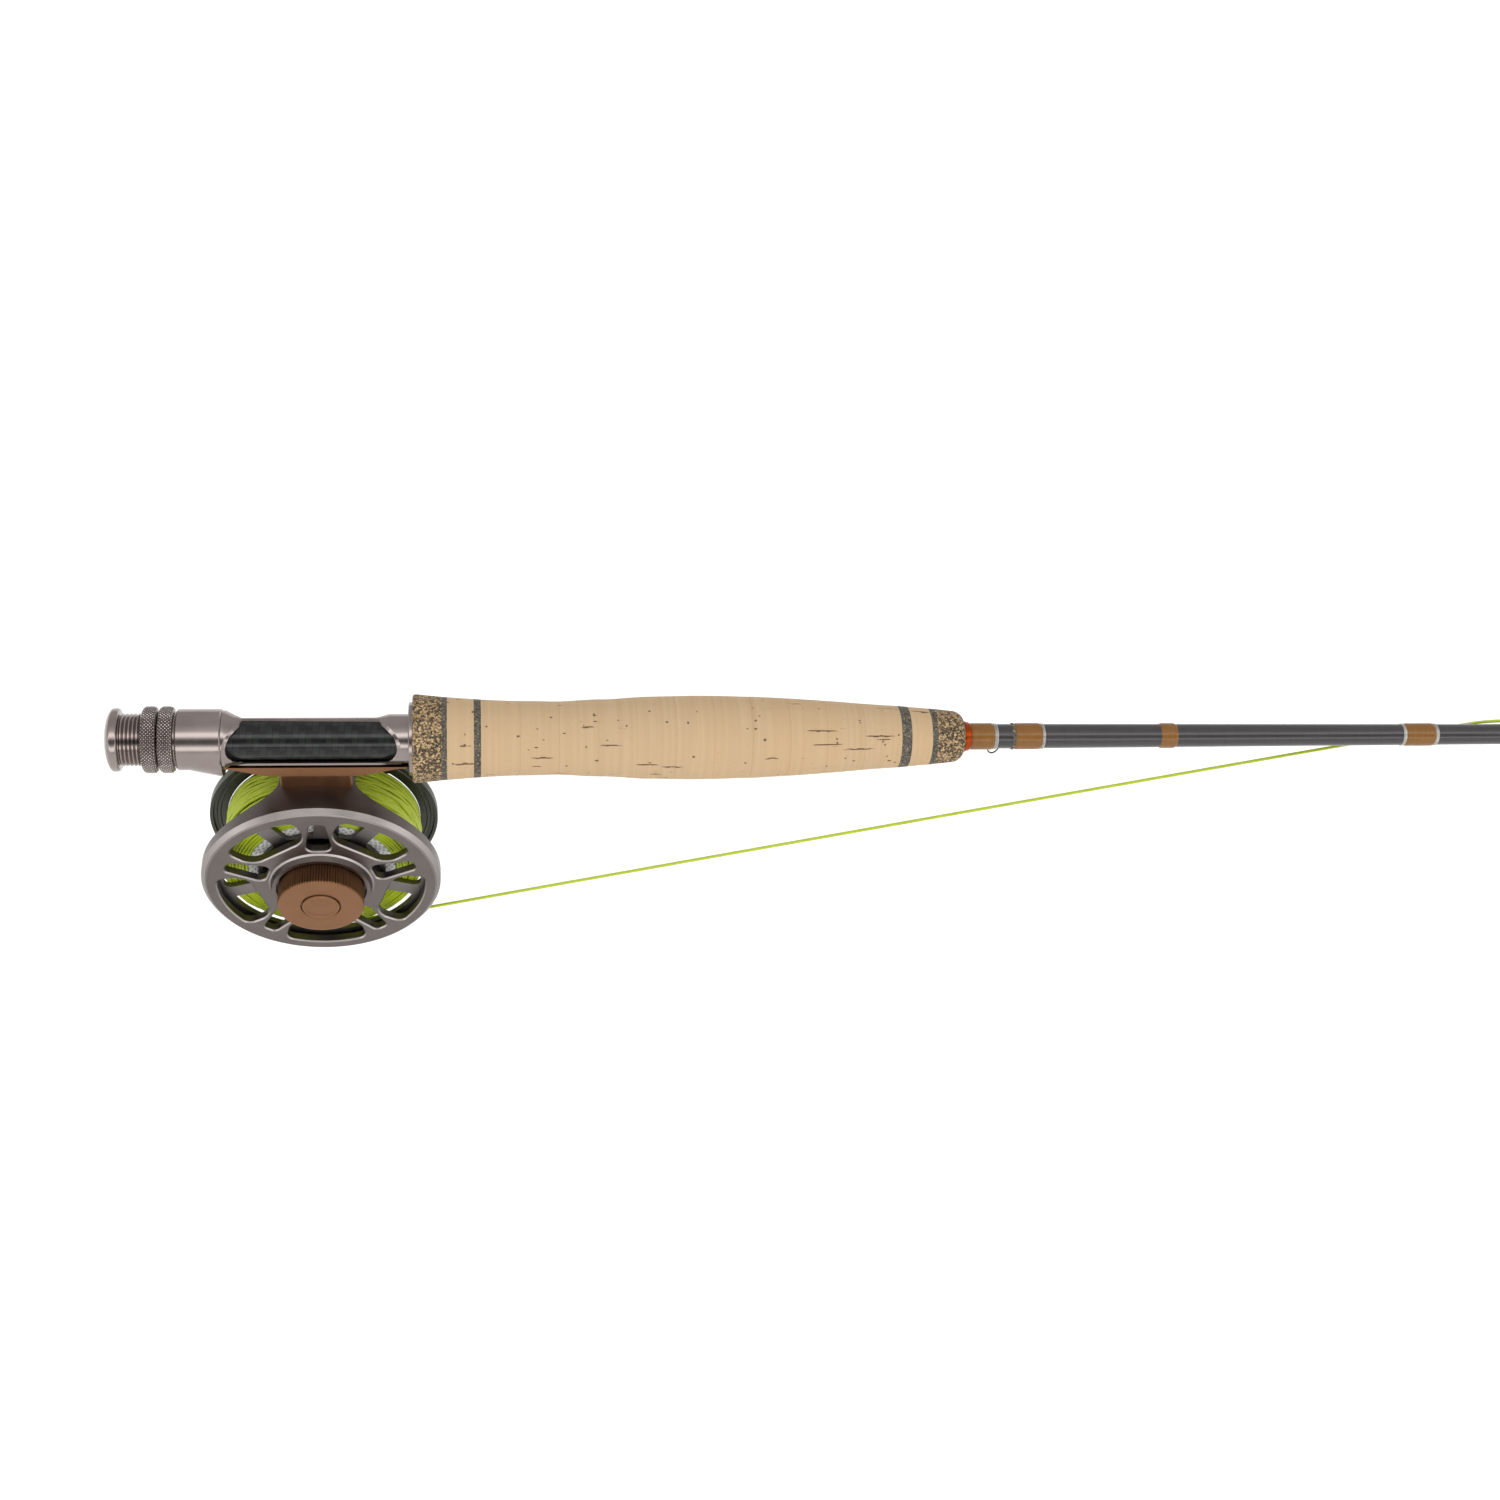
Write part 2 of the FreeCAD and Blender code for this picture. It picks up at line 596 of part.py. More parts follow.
def bridge_plan():
    """The bridge seen from above: straight at the back, flaring into the rim at the front."""
    flare_x, flare_y = BRIDGE_FLARE
    right = []
    for i in range(10):
        a = math.radians(10 * i)
        right.append((BRIDGE_HALF + flare_x * (1 - math.cos(a)), -1.0 - flare_y * math.sin(a)))
    outline = [(BRIDGE_HALF, BRIDGE_END_Y + 1)] + right + [(BRIDGE_HALF + flare_x, -12.0)]
    outline += [(-x, y) for x, y in reversed(outline)]
    face = face_of([V(at(REEL_X) + x, y, REEL_Z + 10) for x, y in outline])
    return face.extrude(V(0, 0, 40))


def make_foot():
    """The foot: a plate hollowed to sit on the seat, thin at its ends, on a solid pedestal."""
    half = FOOT_HALF_LENGTH
    body = turned_on_rod([
        (REEL_X - half, 0), (REEL_X - half, FOOT_TIP_R), (REEL_X - half + 8, FOOT_TIP_R),
        (REEL_X - 15, FOOT_MID_R), (REEL_X + 15, FOOT_MID_R), (REEL_X + half - 8, FOOT_TIP_R),
        (REEL_X + half, FOOT_TIP_R), (REEL_X + half, 0),
    ])
    width = 2 * FOOT_HALF_WIDTH
    plan = Part.makeBox(2 * half - width, width, 20, V(at(REEL_X - half) + FOOT_HALF_WIDTH, -FOOT_HALF_WIDTH, -20))
    for x in (REEL_X - half + FOOT_HALF_WIDTH, REEL_X + half - FOOT_HALF_WIDTH):
        plan = plan.fuse(Part.makeCylinder(FOOT_HALF_WIDTH, 20, V(at(x), 0, -20), V(0, 0, 1)))
    flat = Part.makeBox(2 * half, width, 20, V(at(REEL_X - half), -FOOT_HALF_WIDTH, FOOT_BOTTOM_Z))
    blade = body.common(plan.removeSplitter()).common(flat)
    corner = V(at(REEL_X) - PEDESTAL_HALF, -PEDESTAL_HALF_WIDTH, -21.0)
    pedestal = Part.makeBox(2 * PEDESTAL_HALF, 2 * PEDESTAL_HALF_WIDTH, 11.5, corner)
    pedestal = pedestal.makeFillet(1.2, [e for e in pedestal.Edges if e.BoundBox.ZLength > 8])
    barrel = Part.makeCylinder(PLATE_R, 40, V(at(REEL_X), -20, REEL_Z), V(0, 1, 0))
    # The hollow is wider than the saddle, so the foot bears along its middle and its edges stand clear.
    seat = Part.makeCylinder(FOOT_TOP_R, 90, V(at(20), 0, FOOT_TOP_R - SADDLE_R - FIT), V(1, 0, 0))
    return blade.fuse(pedestal).cut(barrel).cut(seat).cut(foot_screw_holes()).removeSplitter()


def foot_screw(dx):
    """A countersunk screw from inside the bridge up into the pedestal."""
    base = REEL_Z + math.sqrt(RIM_IN_R ** 2 - dx ** 2) + 0.15
    x = at(REEL_X) + dx
    head = Part.makeCone(2.1, 1.2, 1.0, V(x, 2.0, base), V(0, 0, 1))
    return head.fuse(Part.makeCylinder(1.2, 6.2, V(x, 2.0, base), V(0, 0, 1))).removeSplitter()


def foot_screws():
    return [foot_screw(dx) for dx in (-7.0, 7.0)]


def foot_screw_holes():
    return Part.makeCompound(foot_screws())


# ---------------------------------------------------------------- drag
def make_spindle():
    """The fixed steel spindle: a stud for the knob, a flange on the plate, a long journal."""
    return turned_on_reel([
        (-22.9, 0), (-22.9, SPINDLE_R - 0.4), (-22.5, SPINDLE_R), (PLATE[1], SPINDLE_R), (PLATE[1], 8.0),
        (PLATE[1] + 1.2, 8.0), (PLATE[1] + 1.2, SPINDLE_R), (15.2, SPINDLE_R), (15.8, SPINDLE_R - 0.6), (15.8, 0),
    ])


def make_pressure_plate():
    """A ring inside the housing, three pins through the frame plate, and a thrust ring outside it."""
    pieces = [disc_on_reel(PRESSURE_Y, 13.4, 8.3), disc_on_reel(THRUST_RING_Y, THRUST_RING[1], THRUST_RING[0])]
    pieces += [pin_on_reel(PIN_CIRCLE, 120 * k, PIN_END_Y - 0.5, PRESSURE_Y[0] + 0.5, PIN_R) for k in range(3)]
    return fuse_all(pieces)


def make_drag_spring():
    """Three coned spring washers, stacked to and fro."""
    y0, y1 = SPRING_Y
    step = (y1 - y0) / 3
    rings = []
    for k in range(3):
        near, far = (0.35, step - 0.35) if k % 2 else (step - 0.35, 0.35)
        base = y0 + k * step
        rings.append(turned_on_reel([
            (base + near - 0.3, 8.8), (base + near + 0.3, 8.8), (base + far + 0.3, 11.9), (base + far - 0.3, 11.9),
        ]))
    return Part.makeCompound(rings)


def make_knob():
    """The drag knob: a cup with a milled skirt, a flat face and a shallow groove round its middle."""
    y0, y1 = KNOB_Y
    groove = MEDALLION_R
    body = turned_on_reel([
        (y0 + 0.9, 0), (y0 + 0.9, groove + 0.35), (y0, groove + 0.5), (y0, KNOB_R - 0.7), (y0 + 0.7, KNOB_R),
        (y1 - 0.4, KNOB_R), (y1, KNOB_R - 0.4), (y1, 12.7), (KNOB_FACE_INSIDE_Y, 12.7),
        (KNOB_FACE_INSIDE_Y, 6.4), (-17.2, 6.4), (-17.2, SPINDLE_R + FIT), (KNOB_FACE_INSIDE_Y, SPINDLE_R + FIT),
        (KNOB_FACE_INSIDE_Y, 0),
    ])
    return body


def make_medallion():
    """The plain round badge in the knob's face."""
    y0 = KNOB_Y[0] - MEDALLION_PROUD
    return turned_on_reel([
        (y0, 0), (y0, MEDALLION_R - 0.5), (y0 + 0.3, MEDALLION_R), (KNOB_Y[0] + 0.9, MEDALLION_R), (KNOB_Y[0] + 0.9, 0),
    ])


def make_brake_disc():
    hub_out, hub_in = DISC_HUB[1], DISC_HUB[0]
    return turned_on_reel([
        (DISC_Y[0], hub_in), (DISC_Y[0], 13.2), (DISC_Y[1], 13.2), (DISC_Y[1], hub_out),
        (DISC_HUB_END_Y, hub_out), (DISC_HUB_END_Y, hub_in),
    ])


# ---------------------------------------------------------------- spool
def flange_window(inner, outer, spoke):
    """One opening between two spokes: arcs inside and outside, straight sides along the spokes."""
    ring = turned_on_reel([(-20, inner), (20, inner), (20, outer), (-20, outer)])
    wedge = []
    for side in (-1, 1):
        a = math.radians(side * 180 / WINDOWS)
        edge = spoke / 2
        wedge.append((
            (60 * math.sin(a) - side * edge * math.cos(a), 60 * math.cos(a) + side * edge * math.sin(a)),
            (-side * edge * math.cos(a) + 12 * math.sin(a), 12 * math.cos(a) + side * edge * math.sin(a)),
        ))
    (left_out, left_in), (right_out, right_in) = wedge
    points = [V(at(REEL_X) + u, -20, REEL_Z + w) for u, w in (left_in, left_out, right_out, right_in)]
    block = ring.common(face_of(points).extrude(V(0, 40, 0)))
    return block.makeFillet(2.2, upright_edges(block, lambda u, w: True))


def cut_flange(span, windows, turn):
    y0, y1 = span
    slab = disc_on_reel((y0 - 0.5, y1 + 0.5), 60, 1)
    return [round_reel(windows, turn + 72 * k).common(slab) for k in range(WINDOWS)]


def make_spool():
    """The spool: arbor, front flange, rear flange with a lip, web and bearing hub."""
    f0, f1 = FRONT_FLANGE_Y
    r0, r1 = REAR_FLANGE_Y
    lip_in, lip_y0, lip_y1 = REAR_LIP
    body = turned_on_reel([
        (f0, ARBOR[0]), (f0, FRONT_FLANGE_R - 0.4), (f0 + 0.4, FRONT_FLANGE_R), (f1, FRONT_FLANGE_R),
        (f1, ARBOR[1]), (r0, ARBOR[1]), (r0, 35.6), (r0 - 0.3, 35.9), (r0 - 0.3, 36.9), (r0, 37.2), (r0, lip_in),
        (lip_y0, lip_in + 0.3), (lip_y0, REAR_FLANGE_R), (lip_y1 - 0.6, REAR_FLANGE_R),
        (lip_y1, REAR_FLANGE_R - 0.6), (lip_y1, lip_in), (r1, lip_in - 0.6), (r1, ARBOR[0]),
        (WEB_Y[1], ARBOR[0]), (WEB_Y[1], SPOOL_HUB[1]), (SPOOL_HUB_Y[1], SPOOL_HUB[1]),
        (SPOOL_HUB_Y[1], SPOOL_HUB[0]), (SPOOL_HUB_Y[0], SPOOL_HUB[0]), (SPOOL_HUB_Y[0], SPOOL_HUB[1]),
        (WEB_Y[0], SPOOL_HUB[1]), (WEB_Y[0], ARBOR[0]),
    ])
    body = body.cut(cut_flange(FRONT_FLANGE_Y, flange_window(21.7, 34.0, SPOKE), 0))
    body = body.cut(cut_flange(REAR_FLANGE_Y, flange_window(23.6, 33.4, SPOKE), 0))
    # A solid web between two spokes, opposite the handle, helps to balance it.
    width, turn = BALANCE_WEB
    web = Part.makeBox(width, f1 - f0, 14.5, V(at(REEL_X) - width / 2, f0, REEL_Z + ARBOR[1]))
    body = body.fuse(round_reel(web, turn))
    holes = [pin_on_reel(14.4, 36 + 72 * k, WEB_Y[0] - 1, WEB_Y[1] + 1, 3.4) for k in range(WINDOWS)]
    boss = pin_on_reel(HANDLE_AT_R, 180, r0, r1 + 0.5, 4.4)
    return body.cut(holes).fuse(boss).removeSplitter()


def make_spool_cap():
    """The round cap over the end of the spindle."""
    return turned_on_reel([
        (13.6, 5.2), (13.6, 8.4), (16.8, 8.4), (17.8, 7.6), (18.3, 5.0), (18.3, 0), (16.1, 0),
        (16.1, SPINDLE_R + 0.1), (14.6, SPINDLE_R + 0.1), (14.6, 5.2),
    ])


def offset_turned(radius_from_axis, degrees, outline):
    """A turned piece whose own axis runs along Y, away from the spool's axis."""
    c = reel_point(radius_from_axis, degrees, 0)
    face = face_of([V(c.x + r, y, c.z) for y, r in outline])
    return face.revolve(V(c.x, 0, c.z), V(0, 1, 0), 360)


def make_handle_post():
    """The steel post: a base flange, a journal and a head sunk in the knob's end."""
    return offset_turned(HANDLE_AT_R, 180, [
        (15.6, 0), (15.6, 3.0), (16.3, 3.0), (16.3, 1.5), (31.2, 1.5), (31.2, 2.7), (32.2, 2.7), (32.6, 2.0),
        (32.6, 0),
    ])


def make_handle_knob():
    """The handle: waisted near the spool and fuller at its end."""
    y0, y1 = HANDLE_Y
    return offset_turned(HANDLE_AT_R, 180, [
        (y0, 1.55), (y0, 4.0), (y0 + 0.6, 4.5), (y0 + 4.5, 4.1), (y0 + 8.5, 4.5), (y0 + 12.5, 5.4),
        (y0 + 14.6, 5.6), (y0 + 16.0, 5.0), (y1, 3.9), (y1, 2.95), (31.1, 2.95), (31.1, 1.55),
    ])


# ---------------------------------------------------------------- fly line
def line_points():
    return [V(at(x), y, z) for x, y, z in LINE_ROUTE]


def make_fly_line():
    """A tube along the route: straight runs joined by tangent arcs."""
    points = line_points()
    edges = []
    last = points[0]
    length = 0.0
    for before, corner, after in zip(points, points[1:], points[2:]):
        a, b = (before - corner), (after - corner)
        turn = math.pi - a.getAngle(b)
        back = 0.45 * min(a.Length, b.Length)
        radius = back / math.tan(turn / 2)
        start, end = corner + a.normalize() * back, corner + b.normalize() * back
        bisector = (a + b).normalize()
        middle = corner + bisector * (radius / math.cos(turn / 2) - radius)
        edges += [Part.LineSegment(last, start).toShape(), Part.Arc(start, middle, end).toShape()]
        length += (start - last).Length + radius * turn
        last = end
        print("fly line arc radius %.0f mm, turn %.1f degrees" % (radius, math.degrees(turn)))
    edges.append(Part.LineSegment(last, points[-1]).toShape())
    length += (points[-1] - last).Length
    path = Part.Wire(edges)
    circle = Part.Wire(Part.makeCircle(LINE_D / 2, points[0], points[1] - points[0]))
    tube = path.makePipeShell([circle], True, False)
    print("fly line length %.1f mm, volume ratio %.4f" % (length, tube.Volume / (math.pi * LINE_D ** 2 / 4 * length)))
    return tube


def make_line_hitch():
    """The hitch: one turn of the line round the blank, and the knot that closes it."""
    end = line_points()[-1]
    radius = section_radius(0, HITCH_X) + LINE_D / 2 + 0.08
    turn = Part.makeTorus(radius, LINE_D / 2, V(at(HITCH_X) + 0.9, 0, 0), V(1, 0, 0))
    along = end - line_points()[-2]
    along.normalize()
    knot = Part.makeCylinder(1.15, 3.4, end, along)
    return fuse_all([turn, knot])


def main():
    os.makedirs("parts", exist_ok=True)

    save("butt_cap", make_butt_cap())
    save("seat_skeleton", make_seat())
    save("carbon_insert", tube_on_rod(37.2, SEAT_END, INSERT_R, INSERT_BORE))
    save("seat_arbor", tube_on_rod(10.0, SEAT_END, INSERT_BORE - 0.02, blank_radius(10.0) + 0.01))
    save("lock_ring", make_lock_ring(RING_2))
    save("jam_ring", make_lock_ring(RING_1))
    save("sliding_hood", make_hood())
    save("fixed_hood", make_fixed_hood())

    save("composite_cork_rear", make_rear_composite())
    step = (GRIP[1] - GRIP[0]) / GRIP_RINGS
    rings = [grip_ring(GRIP[0] + k * step, GRIP[0] + (k + 1) * step, 5) for k in range(GRIP_RINGS)]
    save("cork_grip_rings", Part.makeCompound(rings))
    save("cork_accent_rings", Part.makeCompound([grip_ring(a, b, 3) for a, b in ACCENT_RINGS]))
    save("dark_trim_rings", Part.makeCompound([grip_ring(a, b, 1) for a, b in DARK_RINGS]))
    save("composite_cork_front", make_front_composite())
    x0, x1 = CHECK
    bore = blank_radius(x0)
    save("winding_check", turned_on_rod([(x0, bore), (x1, bore), (x1, 4.75), (x0 + 1.2, 5.0), (x0, 5.3)]))

    save("butt_blank", make_section(0))
    save("rod_section_2", make_section(1))
    save("rod_section_3", make_section(2))
    save("rod_section_4", make_section(3))
    save("butt_wraps", Part.makeCompound([wrap(a, b, 0) for a, b in BUTT_WRAPS]))
    save("silver_trims", Part.makeCompound([wrap(a, b, 0, 0.22) for a, b in SILVER_TRIMS]))
    save("dark_wrap", wrap(DARK_WRAP[0], DARK_WRAP[1], 0, 0.35))
    save("hook_keeper", make_hook_keeper())

    save("stripping_guides", Part.makeCompound([make_stripper_frame(x, r, h, 1) for x, r, h in STRIPPERS]))
    save("stripping_rings", Part.makeCompound([make_stripper_ring(x, r, h, 1) for x, r, h in STRIPPERS]))
    for i in (1, 2, 3):
        save("snake_guides_%d" % (i + 1), Part.makeCompound([make_snake(x, i) for x in SNAKES[i - 1]]))
        save("thread_wraps_%d" % (i + 1), Part.makeCompound(section_wraps(i)))
    save("tip_top", make_tip_top())

    save("reel_frame", make_frame().cut(foot_screw_holes()))
    save("reel_foot", make_foot())
    save("foot_screws", Part.makeCompound(foot_screws()))
    save("spindle", make_spindle())
    save("spindle_clip", disc_on_reel((12.3, 13.1), 4.8, SPINDLE_R))
    save("drag_housing", disc_on_reel(HOUSING_Y, HOUSING[1], HOUSING[0]))
    save("housing_cover", disc_on_reel(COVER_Y, HOUSING[1], 8.9))
    washers = [disc_on_reel(WASHER_A_Y, 13.3, 8.4), disc_on_reel(WASHER_B_Y, 13.3, 9.0)]
    save("friction_washers", Part.makeCompound(washers))
    save("pressure_plate", make_pressure_plate())
    save("drag_spring", make_drag_spring())
    save("drag_knob", make_knob())
    save("knob_medallion", make_medallion())
    save("brake_disc", make_brake_disc())
    save("one_way_clutch", disc_on_reel((-9.2, -3.0), DISC_HUB[0], 4.35))
    save("clutch_sleeve", turned_on_reel([
        (-9.2, SPINDLE_R + FIT), (1.5, SPINDLE_R + FIT), (1.5, 6.4), (0.0, 6.4), (0.0, 4.3), (-9.2, 4.3),
    ]))

    save("spool", make_spool())
    bearings = [disc_on_reel((y, y + 3), SPOOL_HUB[0], SPINDLE_R + 0.03) for y in (1.8, 9.0)]
    save("spool_bearings", Part.makeCompound(bearings))
    save("spool_cap", make_spool_cap())
    save("counterweight", offset_turned(35.4, 0, [(15.1, 0), (15.1, 1.9), (17.0, 1.9), (17.5, 1.4), (17.5, 0)]))
    save("handle_post", make_handle_post())
    save("handle_knob", make_handle_knob())
    pack_span = (FRONT_FLANGE_Y[1] + 0.05, REAR_FLANGE_Y[0] - 0.35)
    save("backing", disc_on_reel(pack_span, BACKING_R, ARBOR[1]))
    save("line_pack", disc_on_reel(pack_span, LINE_PACK_R, BACKING_R))
    save("fly_line", make_fly_line())
    save("line_hitch", make_line_hitch())


main()
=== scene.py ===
import json
import math
import random

import bpy
import numpy as np
from mathutils import Matrix, Vector, noise


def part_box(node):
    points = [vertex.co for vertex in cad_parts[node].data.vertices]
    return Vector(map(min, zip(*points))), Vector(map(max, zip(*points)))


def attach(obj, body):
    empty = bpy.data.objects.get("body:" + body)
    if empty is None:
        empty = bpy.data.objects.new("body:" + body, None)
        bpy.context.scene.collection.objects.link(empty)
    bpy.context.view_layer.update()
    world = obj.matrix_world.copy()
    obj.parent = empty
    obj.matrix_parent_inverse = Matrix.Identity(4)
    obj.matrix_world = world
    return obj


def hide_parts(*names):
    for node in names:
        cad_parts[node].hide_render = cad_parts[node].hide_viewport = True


# A fly rod with its reel over a pale floor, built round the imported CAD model. All sizes are in metres.
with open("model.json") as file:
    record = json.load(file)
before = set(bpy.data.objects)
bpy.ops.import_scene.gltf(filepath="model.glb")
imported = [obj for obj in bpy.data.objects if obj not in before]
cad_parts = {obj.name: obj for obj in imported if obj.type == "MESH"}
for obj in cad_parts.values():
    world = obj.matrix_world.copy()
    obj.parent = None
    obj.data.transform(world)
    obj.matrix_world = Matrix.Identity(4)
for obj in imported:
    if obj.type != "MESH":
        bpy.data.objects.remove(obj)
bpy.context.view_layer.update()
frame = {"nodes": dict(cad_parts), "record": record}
MM = 0.001
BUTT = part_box("butt_cap")[0].x
AXIS = (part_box("knob_medallion")[0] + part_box("knob_medallion")[1]) / 2
REEL_X, REEL_Z = AXIS.x, AXIS.z
ROOT = "rod_and_frame"
GRIP_BORE = 4.9 * MM
RING_BORE = 8.62 * MM
LINE_RADIUS = 0.55 * MM


def at(mm):
    """X of a place along the rod, given in millimetres from its butt end."""
    return BUTT + mm * MM


# ---------------------------------------------------------------- shaders
class Shader:
    """A procedural material: one Principled shader and the nodes that feed it."""

    def __init__(self, name, color=(0.5, 0.5, 0.5), **sockets):
        self.material = bpy.data.materials.new(name)
        self.material.use_nodes = True
        self.tree = self.material.node_tree
        self.bsdf = self.tree.nodes["Principled BSDF"]
        self.put(self.bsdf, "Base Color", (*color, 1.0))
        for key, value in sockets.items():
            self.put(self.bsdf, key.replace("_", " ").capitalize(), value)
        self.point = self.add("TexCoord").outputs["Object"]
        parts = self.add("SeparateXYZ", {"Vector": self.point})
        self.x, self.y, self.z = parts.outputs

    def put(self, node, key, value):
        if isinstance(key, str):
            key = [socket.name.lower() for socket in node.inputs].index(key.lower())
        socket = node.inputs[key]
        if isinstance(value, bpy.types.NodeSocket):
            self.tree.links.new(value, socket)
        else:
            socket.default_value = value

    def add(self, kind, inputs=None, **settings):
        node = self.tree.nodes.new("ShaderNode" + kind)
        for key, value in settings.items():
            setattr(node, key, value)
        for key, value in (inputs or {}).items():
            self.put(node, key, value)
        return node

    def math(self, operation, a, b=0.0):
        return self.add("Math", {0: a, 1: b}, operation=operation).outputs[0]

    def ramp(self, value, low, high, to_low=0.0, to_high=1.0):
        """A value carried from one range to another, held at both ends."""
        inputs = {"Value": value, "From Min": low, "From Max": high, "To Min": to_low, "To Max": to_high}
        return self.add("MapRange", inputs, clamp=True).outputs[0]

    def mix(self, factor, a, b):
        node = self.add("Mix", data_type="RGBA")
        self.put(node, 0, factor)
        self.put(node, 6, a if isinstance(a, bpy.types.NodeSocket) else (*a, 1.0))
        self.put(node, 7, b if isinstance(b, bpy.types.NodeSocket) else (*b, 1.0))
        return node.outputs[2]

    def scaled(self, sx, sy, sz):
        """The point, stretched before a texture reads it."""
        return self.add("Mapping", {"Vector": self.point, "Scale": (sx, sy, sz)}).outputs[0]

    def noise(self, scale, vector=None, detail=3.0, rough=0.55):
        inputs = {"Vector": vector or self.point, "Scale": scale, "Detail": detail, "Roughness": rough}
        return self.add("TexNoise", inputs).outputs[0]

    def cells(self, scale, feature="F1", output="Distance"):
        node = self.add("TexVoronoi", {"Vector": self.point, "Scale": scale}, feature=feature)
        return node.outputs[output]

    def around_rod(self):
        """The angle about the rod's axis, in radians."""
        return self.math("ARCTAN2", self.y, self.z)

    def around_reel(self):
        """Angle and radius about the spool's axis."""
        u = self.math("SUBTRACT", self.x, REEL_X)
        w = self.math("SUBTRACT", self.z, REEL_Z)
        square = self.math("ADD", self.math("MULTIPLY", u, u), self.math("MULTIPLY", w, w))
        return self.math("ARCTAN2", u, w), self.math("SQRT", square)

    def stripes(self, value):
        """Distance from the middle of each whole step of a value, from 0 to 0.5."""
        return self.math("ABSOLUTE", self.math("SUBTRACT", self.math("FRACT", value), 0.5))

    def color(self, socket):
        self.put(self.bsdf, "Base Color", socket)

    def rough(self, socket):
        self.put(self.bsdf, "Roughness", socket)

    def bump(self, height, distance, strength=1.0):
        """Relief of the given depth, in metres."""
        inputs = {"Height": height, "Distance": distance, "Strength": strength}
        if self.bsdf.inputs["Normal"].is_linked:
            inputs["Normal"] = self.bsdf.inputs["Normal"].links[0].from_socket
        self.put(self.bsdf, "Normal", self.add("Bump", inputs).outputs[0])


def anodised(name, color, light, roughness, turned="rod"):
    """Satin anodised metal: fine turning lines, a slight mottle and small rubbed spots."""
    s = Shader(name, color, metallic=1.0, roughness=roughness)
    if turned == "rod":
        line = s.noise(9000, s.scaled(1, 0.002, 0.002), 2.0)
    else:
        radius = s.around_reel()[1]
        polar = s.add("CombineXYZ", {0: radius, 1: s.math("MULTIPLY", s.y, 0.3)}).outputs[0]
        line = s.noise(9000, polar, 2.0)
    mottle = s.noise(120, detail=4.0)
    rubbed = s.ramp(s.noise(420, detail=5.0, rough=0.7), 0.66, 0.74)
    shade = s.mix(s.ramp(mottle, 0.3, 0.7), color, light)
    s.color(s.mix(s.math("MULTIPLY", rubbed, 0.35), shade, tuple(min(1.0, 1.5 * c) for c in light)))
    s.rough(s.ramp(s.math("ADD", line, mottle), 0.7, 1.3, roughness * 0.85, roughness * 1.2))
    s.bump(line, 0.000012, 0.6)
    s.bump(s.noise(5200, detail=2.0), 0.000008, 0.4)
    return s


def knurled():
    """The rings' metal: painted shade darkens the valleys of the knurl and a painted highlight makes its
    points pale.
    """
    s = anodised("knurled", (0.255, 0.216, 0.203), (0.300, 0.258, 0.243), 0.24)
    high = s.add("Attribute", attribute_name="knurl").outputs["Fac"]
    under = s.bsdf.inputs["Base Color"].links[0].from_socket
    # Painted shade in the knurl's valleys.
    valley_shade = s.mix(s.ramp(high, 0.15, 0.50, 0.75, 0.0), under, (0.050, 0.042, 0.039))
    # Painted highlight on the knurl's points.
    s.color(s.mix(s.ramp(high, 0.45, 0.80, 0.0, 0.9), valley_shade, (0.74, 0.68, 0.65)))
    return s


def bright_bevels_and_highlight(s, color):
    """Bevels cut bright through the anodising: paler where a face leans between the plate's face and its
    sides, with a painted highlight that makes the upper ones palest.
    """
    normal = s.add("SeparateXYZ", {0: s.add("NewGeometry").outputs["True Normal"]})
    lean = s.math("ABSOLUTE", normal.outputs[1])
    bevel = s.math("MULTIPLY", s.ramp(lean, 0.45, 0.60), s.ramp(lean, 0.80, 0.92, 1.0, 0.0))
    # Painted highlight: bevels that face up are made paler than those that face down.
    bevel = s.math("MULTIPLY", bevel, s.ramp(normal.outputs[2], -0.2, 0.6, 0.12, 1.0))
    under = s.bsdf.inputs["Base Color"].links[0].from_socket
    s.color(s.mix(s.math("MULTIPLY", bevel, 0.85), under, color))


def make_materials():
    m = {}
    m["gunmetal"] = anodised("gunmetal", (0.255, 0.216, 0.203), (0.300, 0.258, 0.243), 0.21)
    m["reel_gunmetal"] = anodised("reel_gunmetal", (0.128, 0.110, 0.103), (0.150, 0.129, 0.121), 0.36, "reel")
    bright_bevels_and_highlight(m["reel_gunmetal"], (0.46, 0.42, 0.40))
    m["knurled"] = knurled()
    m["dark_wire"] = anodised("dark_wire", (0.060, 0.062, 0.066), (0.085, 0.087, 0.092), 0.25)
    brown, light_brown = (0.205, 0.100, 0.048), (0.245, 0.122, 0.060)
    m["brown_anodised"] = anodised("brown_anodised", brown, light_brown, 0.42, "reel")
    m["orange_anodised"] = anodised("orange_anodised", (0.30, 0.040, 0.006), (0.36, 0.055, 0.009), 0.34)
    m["spool_metal"] = spool_metal()
    m["steel"] = anodised("steel", (0.56, 0.55, 0.53), (0.66, 0.65, 0.63), 0.22, "reel")
    m["guide_wire"] = anodised("guide_wire", (0.50, 0.49, 0.48), (0.60, 0.59, 0.58), 0.16)
    m["carbon_twill"] = carbon_twill()
    m["cork"] = cork()
    m["composite_cork"] = composite_cork()
    m["dark_trim"] = dark_trim()
    m["graphite_blank"] = graphite_blank()
    m["brown_thread"] = thread("brown_thread", (0.215, 0.092, 0.014), (0.130, 0.052, 0.008), 0.0)
    m["silver_thread"] = thread("silver_thread", (0.50, 0.49, 0.45), (0.13, 0.12, 0.11), 0.9)
    m["ceramic_ring"] = ceramic_ring()
    m["arbor_foam"] = arbor_foam()
    m["friction_material"] = friction_material()
    m["handle_black"] = handle_black()
    m["fly_line_green"] = fly_line_coating()
    m["line_shadow"] = line_shadow()
    m["white_backing"] = white_backing()
    m["floor"] = floor_material()
    return m


